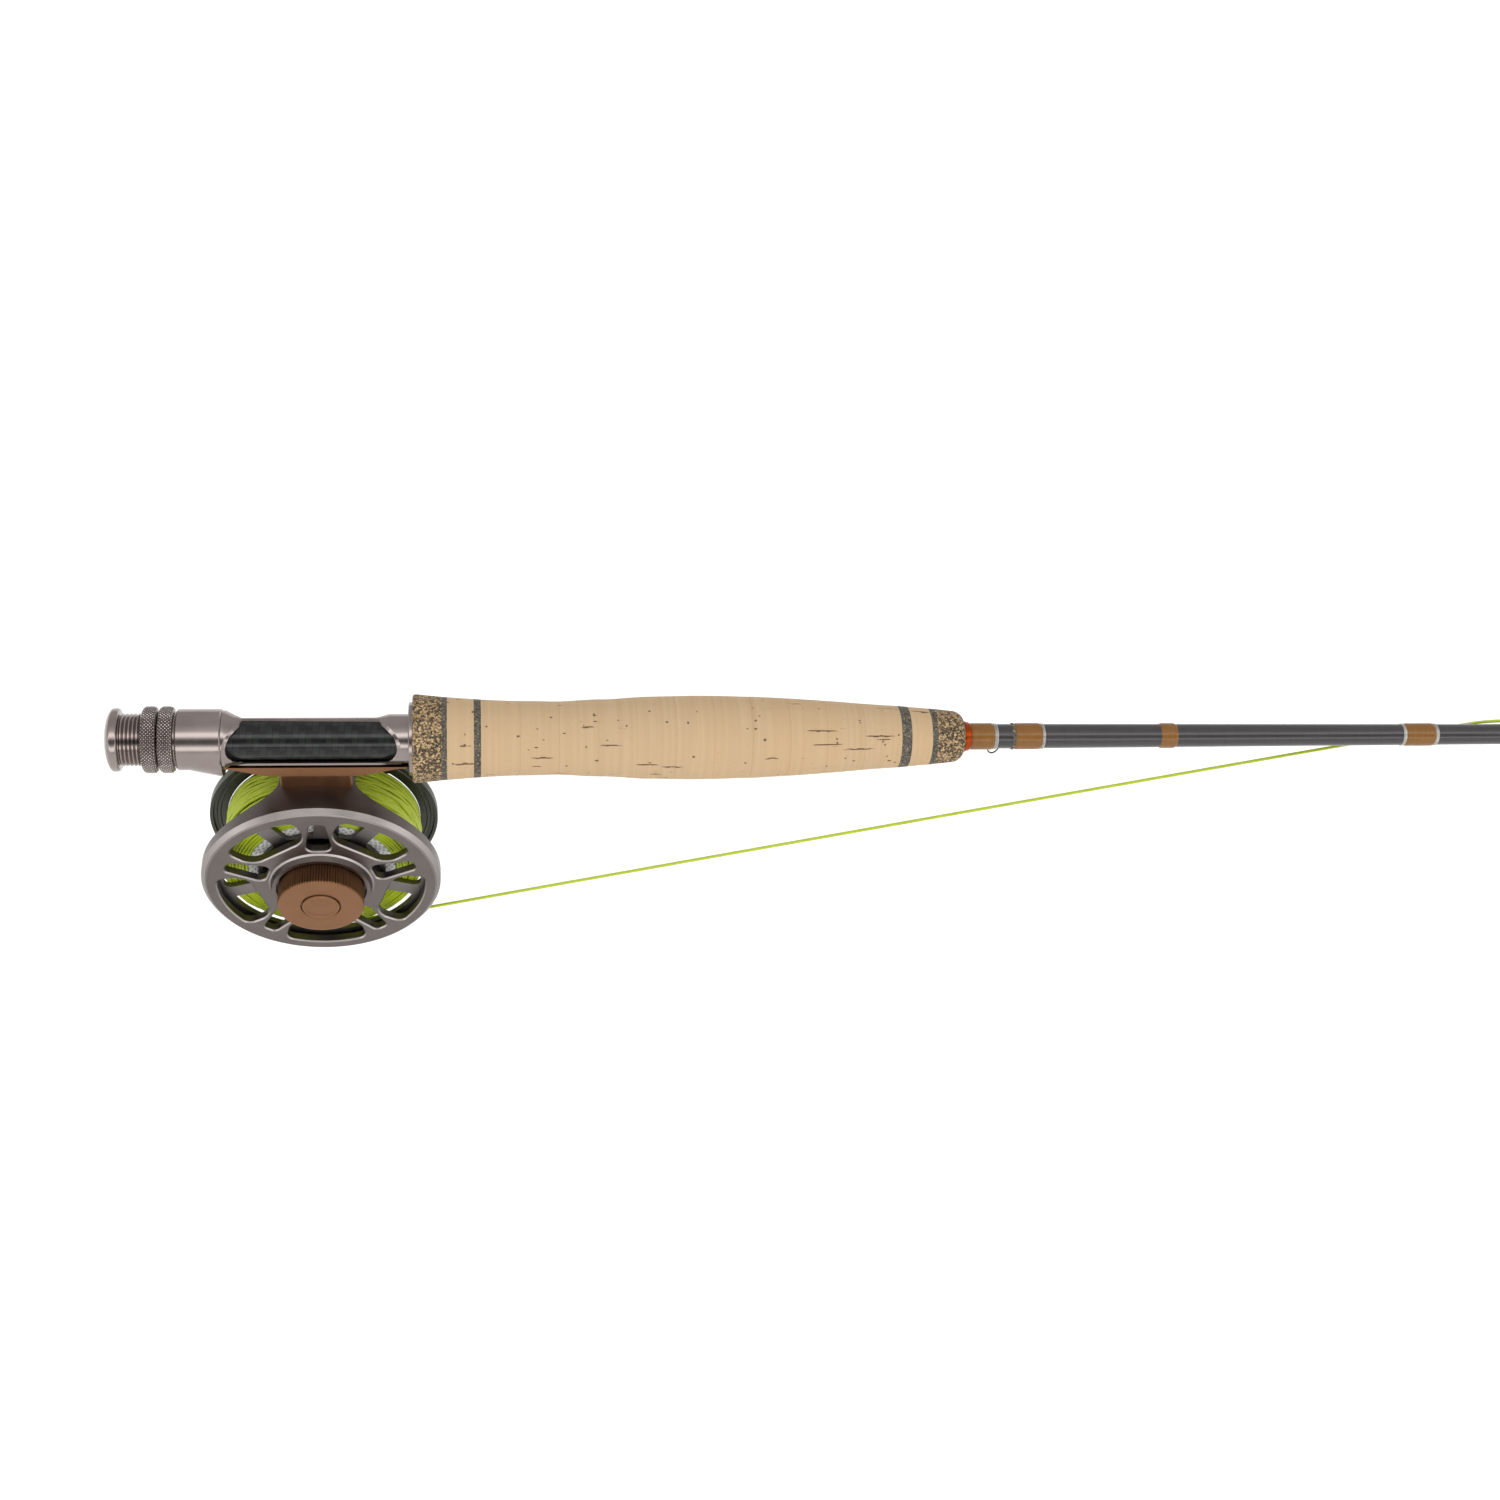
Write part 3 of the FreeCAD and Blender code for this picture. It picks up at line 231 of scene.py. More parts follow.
def spool_metal():
    """The spool: grey spokes and arbor near the front, dark olive-black rear flange."""
    s = anodised("spool_metal", (0.17, 0.155, 0.15), (0.21, 0.195, 0.19), 0.42, "reel")
    tone = s.mix(s.ramp(s.y, 0.009, 0.0105), (0.19, 0.172, 0.166), (0.058, 0.060, 0.050))
    s.color(s.mix(s.ramp(s.noise(150), 0.3, 0.75, 0.0, 0.35), tone, (0.10, 0.10, 0.09)))
    return s


def carbon_twill():
    """A two-by-two twill of carbon tows under a glossy coat, laid round the rod."""
    s = Shader("carbon_twill", roughness=0.45, specular_ior_level=0.08, coat_weight=0.45, coat_roughness=0.04)
    tow = 0.0021
    u = s.math("DIVIDE", s.x, tow)
    v = s.math("MULTIPLY", s.around_rod(), 20 / (2 * math.pi))
    diagonal = s.math("ADD", s.math("FLOOR", u), s.math("FLOOR", v))
    over = s.math("LESS_THAN", s.math("FLOORED_MODULO", diagonal, 4.0), 1.5)
    edge = s.add("Mix", {0: over, 2: s.stripes(v), 3: s.stripes(u)}, data_type="FLOAT").outputs[0]
    fibre = s.noise(2600, s.scaled(0.2, 2.5, 2.5), 3.0)
    tone = s.mix(over, (0.0012, 0.0015, 0.0013), (0.0125, 0.0140, 0.0125))
    lit = s.mix(s.ramp(fibre, 0.35, 0.85), tone, (0.017, 0.019, 0.017))
    s.color(s.mix(s.ramp(edge, 0.38, 0.5), lit, (0.003, 0.0035, 0.003)))
    s.rough(s.ramp(fibre, 0.3, 0.7, 0.30, 0.48))
    s.bump(s.ramp(edge, 0.2, 0.5, 1.0, 0.0), 0.00010, 0.55)
    return s


def cork():
    """Sanded cork: soft bands round the grip, freckles, long fine cracks and dark open pores."""
    s = Shader("cork", roughness=0.82, specular_ior_level=0.25)
    band = s.noise(1.0, s.scaled(520, 9, 9), 3.0, 0.6)
    cloud = s.noise(95, detail=5.0, rough=0.65)
    tone = s.mix(s.ramp(band, 0.25, 0.75), (0.455, 0.315, 0.180), (0.545, 0.398, 0.245))
    tone = s.mix(s.ramp(cloud, 0.30, 0.72, 0.0, 0.7), tone, (0.495, 0.355, 0.210))
    ring_length = 0.01277
    which = s.math("FLOOR", s.math("DIVIDE", s.x, ring_length))
    ring = s.add("TexWhiteNoise", {"W": which}, noise_dimensions="1D")
    tone = s.mix(s.ramp(ring.outputs[0], 0.0, 1.0, 0.0, 0.22), tone, (0.52, 0.34, 0.175))
    freckle = s.ramp(s.noise(900, s.scaled(1, 1.3, 1.3), 4.0, 0.7), 0.62, 0.72)
    tone = s.mix(s.math("MULTIPLY", freckle, 0.45), tone, (0.33, 0.185, 0.085))
    crack = s.ramp(s.noise(330, s.scaled(0.30, 1.9, 1.9), 6.0, 0.72), 0.665, 0.70)
    tone = s.mix(s.math("MULTIPLY", crack, 0.6), tone, (0.21, 0.115, 0.055))
    pore = s.add("Attribute", attribute_name="pore").outputs["Fac"]
    seam = s.add("Attribute", attribute_name="seam").outputs["Fac"]
    tone = s.mix(s.math("MULTIPLY", seam, 0.30), tone, (0.36, 0.21, 0.10))
    s.color(s.mix(s.ramp(pore, 0.05, 0.6, 0.0, 0.9), tone, (0.10, 0.055, 0.028)))
    s.bump(crack, 0.00012, -0.5)
    s.bump(s.noise(2600, detail=4.0, rough=0.7), 0.00008, 0.55)
    return s


def composite_cork():
    """Pressed granules of cork and dark rubber."""
    s = Shader("composite_cork", roughness=0.72, specular_ior_level=0.3)
    granule = 1750
    grain = s.cells(granule, output="Color")
    pick = s.add("SeparateColor", {0: grain}).outputs[0]
    tint = s.add("SeparateColor", {0: grain}).outputs[1]
    pale = s.mix(tint, (0.26, 0.160, 0.072), (0.60, 0.43, 0.235))
    dark = s.mix(tint, (0.030, 0.025, 0.017), (0.135, 0.090, 0.048))
    tone = s.mix(s.ramp(pick, 0.46, 0.56), dark, pale)
    edge = s.cells(granule, feature="DISTANCE_TO_EDGE")
    s.color(s.mix(s.ramp(edge, 0.0, 0.14, 0.6, 0.0), tone, (0.055, 0.040, 0.024)))
    s.bump(s.ramp(edge, 0.0, 0.2), 0.00010, 0.6)
    s.bump(s.noise(3000, detail=3.0), 0.00006, 0.5)
    return s


def dark_trim():
    """Dark rubberised cork: fine grey and brown specks."""
    s = Shader("dark_trim", roughness=0.7, specular_ior_level=0.3)
    speck = s.add("SeparateColor", {0: s.cells(2100, output="Color")}).outputs[0]
    tone = s.mix(s.ramp(speck, 0.2, 0.9), (0.050, 0.044, 0.034), (0.135, 0.118, 0.092))
    s.color(s.mix(s.ramp(speck, 0.93, 0.96), tone, (0.25, 0.20, 0.13)))
    s.bump(s.noise(2600, detail=3.0), 0.00006, 0.5)
    return s


def graphite_blank():
    """Graphite under varnish: long fibres, and a faint step where the wrap of cloth spirals."""
    s = Shader("graphite_blank", roughness=0.42, specular_ior_level=0.25, coat_weight=0.5,
               coat_roughness=0.10)
    fibre = s.noise(1900, s.scaled(0.03, 1.0, 1.0), 4.0, 0.65)
    turn = s.math("ADD", s.math("MULTIPLY", s.x, 210), s.math("DIVIDE", s.around_rod(), 2 * math.pi))
    band = s.stripes(turn)
    tone = s.mix(s.ramp(fibre, 0.3, 0.7), (0.026, 0.023, 0.024), (0.044, 0.040, 0.041))
    s.color(s.mix(s.ramp(band, 0.40, 0.5, 0.0, 0.3), tone, (0.020, 0.018, 0.019)))
    s.rough(s.ramp(fibre, 0.3, 0.7, 0.28, 0.42))
    s.bump(s.ramp(band, 0.30, 0.5), 0.00003, 0.35)
    s.bump(s.noise(160, s.scaled(0.4, 1, 1), 2.0), 0.00004, 0.25)
    return s


def thread(name, color, gap, metallic):
    """Fine thread wound side by side, seen through clear epoxy."""
    s = Shader(name, color, roughness=0.5, metallic=metallic, specular_ior_level=0.2, coat_weight=0.4,
               coat_roughness=0.09)
    pitch = 0.00019
    turn = s.math("ADD", s.math("DIVIDE", s.x, pitch), s.math("DIVIDE", s.around_rod(), 2 * math.pi))
    across = s.stripes(turn)
    strand = s.add("TexWhiteNoise", {"W": s.math("FLOOR", turn)}, noise_dimensions="1D").outputs[0]
    tone = s.mix(s.ramp(strand, 0.0, 1.0, 0.0, 0.4), color, gap)
    patch = s.ramp(s.noise(240, s.scaled(1, 3, 3)), 0.4, 0.75, 0.0, 0.35)
    sheen = s.mix(patch, tone, tuple(1.35 * c for c in color))
    s.color(s.mix(s.ramp(across, 0.32, 0.5, 0.0, 0.8), sheen, gap))
    s.bump(s.ramp(across, 0.1, 0.5, 1.0, 0.0), 0.00004, 0.5)
    return s


def ceramic_ring():
    """Polished dark ceramic."""
    s = Shader("ceramic_ring", (0.03, 0.03, 0.034), roughness=0.12, coat_weight=0.6, coat_roughness=0.04)
    s.color(s.mix(s.ramp(s.noise(2600), 0.4, 0.7), (0.022, 0.022, 0.026), (0.05, 0.05, 0.055)))
    s.bump(s.noise(4200), 0.000006, 0.3)
    return s


def arbor_foam():
    """Pale foam with fine closed cells."""
    s = Shader("arbor_foam", roughness=0.9, specular_ior_level=0.2)
    pore = s.cells(2400)
    s.color(s.mix(s.ramp(pore, 0.1, 0.6), (0.46, 0.42, 0.33), (0.66, 0.62, 0.50)))
    s.bump(pore, 0.0001, 0.6)
    return s


def friction_material():
    """Woven dark friction disc."""
    s = Shader("friction_material", roughness=0.75, specular_ior_level=0.3)
    weave = s.add("TexChecker", {"Vector": s.point, "Scale": 1600.0}).outputs["Fac"]
    s.color(s.mix(weave, (0.030, 0.030, 0.030), (0.065, 0.062, 0.058)))
    s.bump(s.noise(3200), 0.00005, 0.6)
    return s


def handle_black():
    """Moulded black with a fine eggshell texture and a few pale scuffs."""
    s = Shader("handle_black", roughness=0.42, specular_ior_level=0.45)
    scuff = s.ramp(s.noise(700, s.scaled(1, 0.3, 1), 5.0, 0.7), 0.66, 0.72)
    s.color(s.mix(s.math("MULTIPLY", scuff, 0.4), (0.022, 0.021, 0.021), (0.085, 0.082, 0.078)))
    s.rough(s.ramp(s.noise(900), 0.3, 0.7, 0.36, 0.5))
    s.bump(s.noise(4600), 0.00003, 0.5)
    return s


def fly_line_coating():
    """Smooth coated fly line, chartreuse, a little translucent, with faint soiling."""
    s = Shader("fly_line_green", roughness=0.36, specular_ior_level=0.45, subsurface_weight=0.08)
    s.put(s.bsdf, "Subsurface Radius", (0.6, 0.8, 0.1))
    s.put(s.bsdf, "Subsurface Scale", 0.0006)
    soil = s.ramp(s.noise(210, detail=5.0, rough=0.65), 0.35, 0.75)
    s.color(s.mix(s.math("MULTIPLY", soil, 0.45), (0.43, 0.53, 0.012), (0.30, 0.37, 0.013)))
    s.bump(s.noise(2800, detail=2.0), 0.00002, 0.35)
    return s


def line_shadow():
    """Painted shade: the deeper turns of line, coloured dark as the shade that shows in the gaps between
    strands.
    """
    s = Shader("line_shadow", roughness=0.6, specular_ior_level=0.2)
    s.color(s.mix(s.noise(800, detail=3.0), (0.030, 0.040, 0.003), (0.07, 0.09, 0.005)))
    s.bump(s.noise(1500), 0.0002, 0.5)
    return s


def white_backing():
    """Braided white backing."""
    s = Shader("white_backing", roughness=0.72, sheen_weight=0.25, sheen_roughness=0.5)
    angle, radius = s.around_reel()
    u = s.math("MULTIPLY", angle, 58.0)
    v = s.math("MULTIPLY", radius, 3300.0)
    plait = s.math("SINE", s.math("ADD", u, v))
    other = s.math("SINE", s.math("SUBTRACT", u, v))
    weave = s.math("MAXIMUM", plait, other)
    s.color(s.mix(s.ramp(weave, -0.2, 0.9), (0.42, 0.42, 0.40), (0.80, 0.80, 0.77)))
    s.bump(s.ramp(weave, -0.2, 1.0), 0.00008, 0.6)
    return s


def floor_material():
    s = Shader("floor", roughness=0.9, specular_ior_level=0.1, emission_strength=0.16)
    s.put(s.bsdf, "Emission Color", (1, 1, 1, 1))
    s.color(s.mix(s.noise(3.0, detail=2.0), (0.90, 0.90, 0.897), (0.92, 0.92, 0.917)))
    s.bump(s.noise(140, detail=4.0), 0.0002, 0.1)
    return s


M = make_materials()


def paint(obj, name):
    obj.data.materials.clear()
    obj.data.materials.append(M[name].material)
    return obj


# ---------------------------------------------------------------- reading the frame
def vertices_of(node):
    mesh = frame["nodes"][node].data
    points = np.zeros(len(mesh.vertices) * 3, np.float32)
    mesh.vertices.foreach_get("co", points)
    return points.reshape(-1, 3).astype(float)


def spans_of(node, gap=0.0002):
    """Where each separate piece of a node starts and ends along the rod."""
    mesh = frame["nodes"][node].data
    xs = vertices_of(node)[:, 0]
    ends = []
    for polygon in mesh.polygons:
        here = xs[list(polygon.vertices)]
        ends.append((here.min(), here.max()))
    ends.sort()
    spans = [list(ends[0])]
    for low, high in ends[1:]:
        if low > spans[-1][1] + gap:
            spans.append([low, high])
        spans[-1][1] = max(spans[-1][1], high)
    return spans


def profile_of(node, low=-9.0, high=9.0):
    """The outside of a turned node as (x, radius), from those of the frame's corners that face outwards."""
    points = vertices_of(node)
    mesh = frame["nodes"][node].data
    normals = np.zeros(len(mesh.vertices) * 3, np.float32)
    mesh.vertices.foreach_get("normal", normals)
    normals = normals.reshape(-1, 3)
    outward = points[:, 1] * normals[:, 1] + points[:, 2] * normals[:, 2]
    keep = (points[:, 0] > low - 1e-6) & (points[:, 0] < high + 1e-6) & (outward > 0.2 * MM)
    points = points[keep]
    radii = np.hypot(points[:, 1], points[:, 2])
    places = np.round(points[:, 0], 6)
    return [(x, radii[places == x].max()) for x in np.unique(places)]


# ---------------------------------------------------------------- building meshes
def link(name, data, body, nodes):
    """Puts a piece in the scene on its body, in place of its CAD nodes."""
    obj = bpy.data.objects.new(name, data)
    bpy.context.scene.collection.objects.link(obj)
    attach(obj, body)
    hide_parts(*nodes)
    return obj


def lathe_mesh(name, outline, segments=96, axis="rod", swell=None, marks=None, centre=None):
    """A turned surface on a closed outline. swell(places, angles) says what to add to each radius, and
    marks are point attributes found the same way."""
    places = np.array([p for p, _ in outline])
    radii = np.array([r for _, r in outline])
    angles = np.linspace(0, 2 * math.pi, segments, endpoint=False)
    grid_p, grid_a = np.meshgrid(places, angles, indexing="ij")
    grid_r = np.repeat(radii[:, None], segments, axis=1)
    if swell is not None:
        grid_r = grid_r + swell(grid_p, grid_a)
    s, c = grid_r * np.sin(grid_a), grid_r * np.cos(grid_a)
    if axis == "rod":
        points = np.stack([grid_p, -s, c], axis=-1)
    else:
        middle_x, middle_z = centre or (REEL_X, REEL_Z)
        points = np.stack([middle_x + s, grid_p, middle_z + c], axis=-1)
    rows = len(places)
    k = np.arange(segments)
    n = (k + 1) % segments
    faces = []
    for row in range(rows):
        a, b = row * segments, ((row + 1) % rows) * segments
        faces += np.stack([a + k, a + n, b + n, b + k], axis=1).tolist()
    mesh = bpy.data.meshes.new(name)
    mesh.from_pydata(points.reshape(-1, 3).tolist(), [], faces)
    for key, values in (marks or {}).items():
        layer = mesh.attributes.new(key, "FLOAT", "POINT")
        layer.data.foreach_set("value", values(grid_p, grid_a).astype(np.float32).ravel())
    mesh.validate()
    mesh.shade_smooth()
    mesh.set_sharp_from_angle(angle=math.radians(40))
    return mesh


def finely(outline, step):
    """An outline with its long stretches divided, so that reliefs have points to move."""
    fine = []
    for (pa, ra), (pb, rb) in zip(outline, outline[1:]):
        count = max(1, int(math.ceil(math.hypot(pb - pa, rb - ra) / step)))
        fine += [(pa + (pb - pa) * i / count, ra + (rb - ra) * i / count) for i in range(count)]
    return fine + [outline[-1]]


def hollow(outline, bore):
    """Closes an outside outline with a bore, so that the piece is a tube."""
    return outline + [(outline[-1][0], bore), (outline[0][0], bore)]


def turned(name, outline, slot, nodes, body=ROOT, material=None, **options):
    """A turned piece in its place, painted with its slot's material or another."""
    obj = link(name, lathe_mesh(name, outline, **options), body, nodes)
    return paint(obj, material or slot)


def curve_piece(name, routes, radius, slot, nodes, body=ROOT, material=None, cyclic=False, kind="POLY",
                resolution=3):
    """Wires or strands: one spline for each route of points."""
    data = bpy.data.curves.new(name, "CURVE")
    data.dimensions = "3D"
    data.bevel_depth = radius
    data.bevel_resolution = resolution
    data.use_fill_caps = True
    for route in routes:
        spline = data.splines.new(kind)
        spline.points.add(len(route) - 1)
        for point, place in zip(spline.points, route):
            point.co = (*place, 1.0)
        spline.use_cyclic_u = cyclic
        if kind == "NURBS":
            spline.order_u = 3
            spline.use_endpoint_u = True
    obj = link(name, data, body, nodes)
    return paint(obj, material or slot)


# ---------------------------------------------------------------- camera
def make_camera():
    """Looks down on the reel's plate from in front: aimed at a place on the rod's axis, then turned by
    small pan, tip and roll angles."""
    elevation = math.radians(50.5)
    distance = 0.6965
    pan, tip, roll = math.radians(7.89), math.radians(0.35), math.radians(-0.24)
    foot_x = at(114.1)
    forward0 = Vector((0, math.cos(elevation), -math.sin(elevation)))
    up0 = Vector((0, math.sin(elevation), math.cos(elevation)))
    right0 = Vector((1, 0, 0))
    forward = forward0 * math.cos(pan) + right0 * math.sin(pan)
    right = right0 * math.cos(pan) - forward0 * math.sin(pan)
    ahead = forward * math.cos(tip) - up0 * math.sin(tip)
    up = up0 * math.cos(tip) + forward * math.sin(tip)
    across = right * math.cos(roll) + up * math.sin(roll)
    above = up * math.cos(roll) - right * math.sin(roll)
    data = bpy.data.cameras.new("camera")
    data.lens = 50
    data.sensor_width = 36
    data.clip_start = 0.01
    camera = bpy.data.objects.new("camera", data)
    bpy.context.scene.collection.objects.link(camera)
    place = Vector((foot_x, 0, 0)) - forward0 * distance
    camera.matrix_world = Matrix((
        (across.x, above.x, -ahead.x, place.x),
        (across.y, above.y, -ahead.y, place.y),
        (across.z, above.z, -ahead.z, place.z),
        (0, 0, 0, 1),
    ))
    bpy.context.scene.camera = camera


# ---------------------------------------------------------------- fly line
LINE_ROUTE = (
    (74.5, -7.4, -94.36),
    (464.0, 4.45, 0.2),
    (482.0, 4.3, 2.7),
    (498.0, 3.6, 3.5),
)


def make_fly_line():
    """The taut line from the spool to its hitch round the blank."""
    points = [(at(x), y * MM, z * MM) for x, y, z in LINE_ROUTE]
    line = curve_piece("loose_line", [points], LINE_RADIUS, "fly_line_green", ["fly_line"], kind="NURBS",
                       resolution=6)
    line.data.resolution_u = 24


# ---------------------------------------------------------------- reel seat pieces
def make_butt_cap():
    """The domed cap with its flange."""
    low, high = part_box("butt_cap")
    radius, flange_end = high.z, low.x + 4.9 * MM
    dome_depth = 3.0 * MM
    turns = np.linspace(0.02, math.pi / 2, 26)
    dome = [(low.x + dome_depth * (1 - math.cos(a)), radius * math.sin(a)) for a in turns]
    rim = [(flange_end - 0.7 * MM, radius), (flange_end - 0.2 * MM, radius - 0.25 * MM),
           (flange_end, radius - 0.7 * MM)]
    outline = [(low.x, 1e-5)] + dome + rim + [(flange_end, 1e-5)]
    turned("butt_cap_dome", outline, "gunmetal", ["butt_cap"], segments=128)


def make_knurled_ring(node):
    """A ring with a diamond knurl that fades out on its rounded edges."""
    low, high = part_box(node)
    width, radius = high.x - low.x, high.z
    crown = []
    for t in np.linspace(-1, 1, 58):
        drop = 1.35 * MM * abs(t) ** 4.5
        crown.append((low.x + width * (t + 1) / 2, radius - drop))
    pitch, count, depth = 1.15 * MM, 56, 0.45 * MM

    def points(places, angles):
        along = (places - low.x) / pitch
        round_it = angles * count / (2 * math.pi)
        one = np.abs(((along + round_it) % 1) - 0.5) * 2
        two = np.abs(((along - round_it) % 1) - 0.5) * 2
        from_edge = np.minimum(places - low.x, high.x - places) / (0.55 * MM)
        fade = np.clip(from_edge, 0, 1)
        return np.clip(1 - np.maximum(one, two) * 1.15, 0, 1) * fade + 0.62 * (1 - fade)

    def knurl(places, angles):
        depths = -depth * (1 - points(places, angles))
        depths[-2:] = 0
        return depths

    # The knurl mark is the height of the knurl; the knurled material turns it into painted shade in the
    # valleys and a painted highlight on the points.
    turned(node + "_knurled", hollow(crown, RING_BORE), "gunmetal", [node], node, "knurled", segments=640,
           swell=knurl, marks={"knurl": points})


# ---------------------------------------------------------------- grip pieces
def cork_pores(seed, low, high, count):
    """Open pores: place, angle, length and width of each, drawn from a seed."""
    draw = random.Random(seed)
    found = []
    for _ in range(count):
        long_one = draw.random() < 0.18
        length = draw.uniform(1.6, 6.5) if long_one else draw.uniform(0.15, 0.5) * draw.uniform(0.8, 1.8)
        width = draw.uniform(0.12, 0.3) if long_one else draw.uniform(0.12, 0.42)
        found.append((draw.uniform(low, high), draw.uniform(0, 2 * math.pi), length * MM, width * MM))
        draw.random()  # one spare draw a pore, which sets what the next one gets
    return found


def pore_field(pores, radius):
    """A function that says how deep in a pore each place is, from 0 to 1."""
    def field(places, angles):
        depth = np.zeros_like(places)
        for x, a, length, width in pores:
            bend = 0.35 * width * np.sin((places - x) / (0.6 * MM) + a)
            across = ((angles - a + math.pi) % (2 * math.pi) - math.pi) * radius + bend
            square = ((places - x) / length) ** 2 + (across / width) ** 2
            depth = np.maximum(depth, np.clip(1.4 - 1.4 * square, 0, 1))
        return depth
    return field


def make_cork_grip():
    """The grip's eleven cork rings as one sanded surface with fine glue seams and open pores."""
    profile = profile_of("cork_grip_rings")
    low, high = profile[0][0], profile[-1][0]
    seams = np.array([low + (high - low) * k / 11 for k in range(1, 11)])
    outline = finely(profile, 0.3 * MM)
    field = pore_field(cork_pores(7, low, high, 190), 12.8 * MM)

    def seam(places, angles):
        distance = np.abs(places[..., None] - seams).min(axis=-1)
        return np.clip(1 - distance / (0.3 * MM), 0, 1)

    def relief(places, angles):
        wobble = 0.05 * MM * np.sin(places * 210) * np.cos(angles * 2 + places * 90)
        return -0.07 * MM * seam(places, angles) - 0.28 * MM * field(places, angles) + wobble

    turned("cork_grip", hollow(outline, GRIP_BORE), "cork", ["cork_grip_rings"], segments=300, swell=relief,
           marks={"pore": field, "seam": seam})


def make_accent_rings():
    """The two cork rings between dark trims near the front of the grip."""
    for k, (low, high) in enumerate(spans_of("cork_accent_rings")):
        outline = finely(profile_of("cork_accent_rings", low, high), 0.3 * MM)
        field = pore_field(cork_pores(31 + k, low, high, 10), 12 * MM)
        turned("cork_accent_%d" % (k + 1), hollow(outline, GRIP_BORE), "cork", ["cork_accent_rings"],
               segments=200, marks={"pore": field},
               swell=lambda places, angles, field=field: -0.25 * MM * field(places, angles))


def granular(seed, depth):
    """The slight relief of pressed granules."""
    def relief(places, angles):
        a = np.sin(places * 5200 + seed) * np.sin(angles * 47 + places * 1500)
        b = np.sin(places * 3100 - seed) * np.cos(angles * 71 - places * 2300)
        return depth * (a + b) / 2
    return relief


def make_trim_rings():
    """The dark rings between the corks."""
    for k, (low, high) in enumerate(spans_of("dark_trim_rings")):
        outline = finely(profile_of("dark_trim_rings", low, high), 0.25 * MM)
        turned("dark_trim_%d" % (k + 1), hollow(outline, GRIP_BORE), "dark_trim", ["dark_trim_rings"],
               segments=160, swell=granular(k, 0.035 * MM))


def rounded(profile, radius):
    """Rounds the corners of an outline by cutting each one with a short curve."""
    out = [profile[0]]
    for before, corner, after in zip(profile, profile[1:], profile[2:]):
        b, c, a = (np.array(p) for p in (before, corner, after))
        back = min(radius, 0.45 * np.linalg.norm(b - c))
        on = min(radius, 0.45 * np.linalg.norm(a - c))
        start = c + (b - c) / max(np.linalg.norm(b - c), 1e-9) * back
        end = c + (a - c) / max(np.linalg.norm(a - c), 1e-9) * on
        for t in (0, 0.25, 0.5, 0.75, 1):
            point = (1 - t) ** 2 * start + 2 * t * (1 - t) * c + t * t * end
            out.append((point[0], point[1]))
    return out + [profile[-1]]


def make_composites():
    """The grip's two pressed ends."""
    rear = profile_of("composite_cork_rear")
    front = profile_of("composite_cork_front")
    front.append((front[-1][0], 4.3 * MM))
    for name, profile, bore in (("composite_cork_rear", rear, 11.0), ("composite_cork_front", front, 4.2)):
        outline = finely(rounded(profile, 1.2 * MM), 0.3 * MM)
        turned(name + "_pressed", hollow(outline, bore * MM), "composite_cork", [name], segments=200,
               swell=granular(3, 0.045 * MM))


def make_winding_check():
    """The orange ring that closes the grip's front end."""
    low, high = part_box("winding_check")
    tall, short = 5.3 * MM, 4.75 * MM
    bore = 4.2 * MM
    outline = [(low.x, bore), (low.x, tall - 0.2 * MM), (low.x + 0.3 * MM, tall),
               (low.x + 0.8 * MM, 5.2 * MM), (low.x + 1.2 * MM, 5.0 * MM),
               (high.x - 0.3 * MM, short + 0.1 * MM), (high.x, short - 0.15 * MM), (high.x, bore)]
    turned("winding_check_ring", rounded(outline, 0.25 * MM), "orange_anodised", ["winding_check"],
           segments=128)


# ---------------------------------------------------------------- blanks, wraps, trims and hook keeper
def make_blanks():
    """The four sections as smooth tubes of varnished graphite."""
    for node, body in (("butt_blank", ROOT), ("rod_section_2", "rod_section_2"),
                       ("rod_section_3", "rod_section_3"), ("rod_section_4", "rod_section_4")):
        profile = profile_of(node)
        outline = finely(rounded(profile, 2 * MM), 12 * MM)
        bore = 0.55 * min(r for _, r in profile)
        turned(node + "_varnished", hollow(outline, bore), "graphite_blank", [node], body, segments=64)


def wrap_outline(node, low, high, height):
    """A thread wrap's outside: level in the middle, with a meniscus of epoxy at each end."""
    profile = profile_of(node, low, high)
    level = max(r for _, r in profile)
    foot = min(0.9 * MM, (high - low) / 3)
    outline = [(low - 0.15 * MM, level - height - 0.05 * MM)]
    for i in range(1, 7):
        t = i / 6
        outline.append((low + foot * t, level - height * (1 - math.sin(t * math.pi / 2))))
    mirrored = [(low + high - x, r) for x, r in reversed(outline)]
    return outline + mirrored


def make_wraps(node, slot, body, label):
    """Every wrap of a node as its own piece, under a coat of epoxy."""
    for k, (low, high) in enumerate(spans_of(node)):
        outline = finely(wrap_outline(node, low, high, 0.3 * MM), 0.4 * MM)
        bore = min(r for _, r in outline) - 0.2 * MM
        turned("%s_%d" % (label, k + 1), hollow(outline, bore), slot, [node], body, segments=72)


def make_silver_trims():
    """Three turns of metallic thread at the end of a wrap, each one a small ridge."""
    for k, (low, high) in enumerate(spans_of("silver_trims")):
        level = max(r for _, r in profile_of("silver_trims", low, high))
        outline = []
        for t in np.linspace(0, 1, 33):
            ridge = abs(math.sin(t * math.pi * 3))
            outline.append((low + (high - low) * t, level - 0.16 * MM + 0.14 * MM * ridge))
        turned("silver_trim_%d" % (k + 1), hollow(outline, level - 0.5 * MM), "silver_thread",
               ["silver_trims"], segments=72)


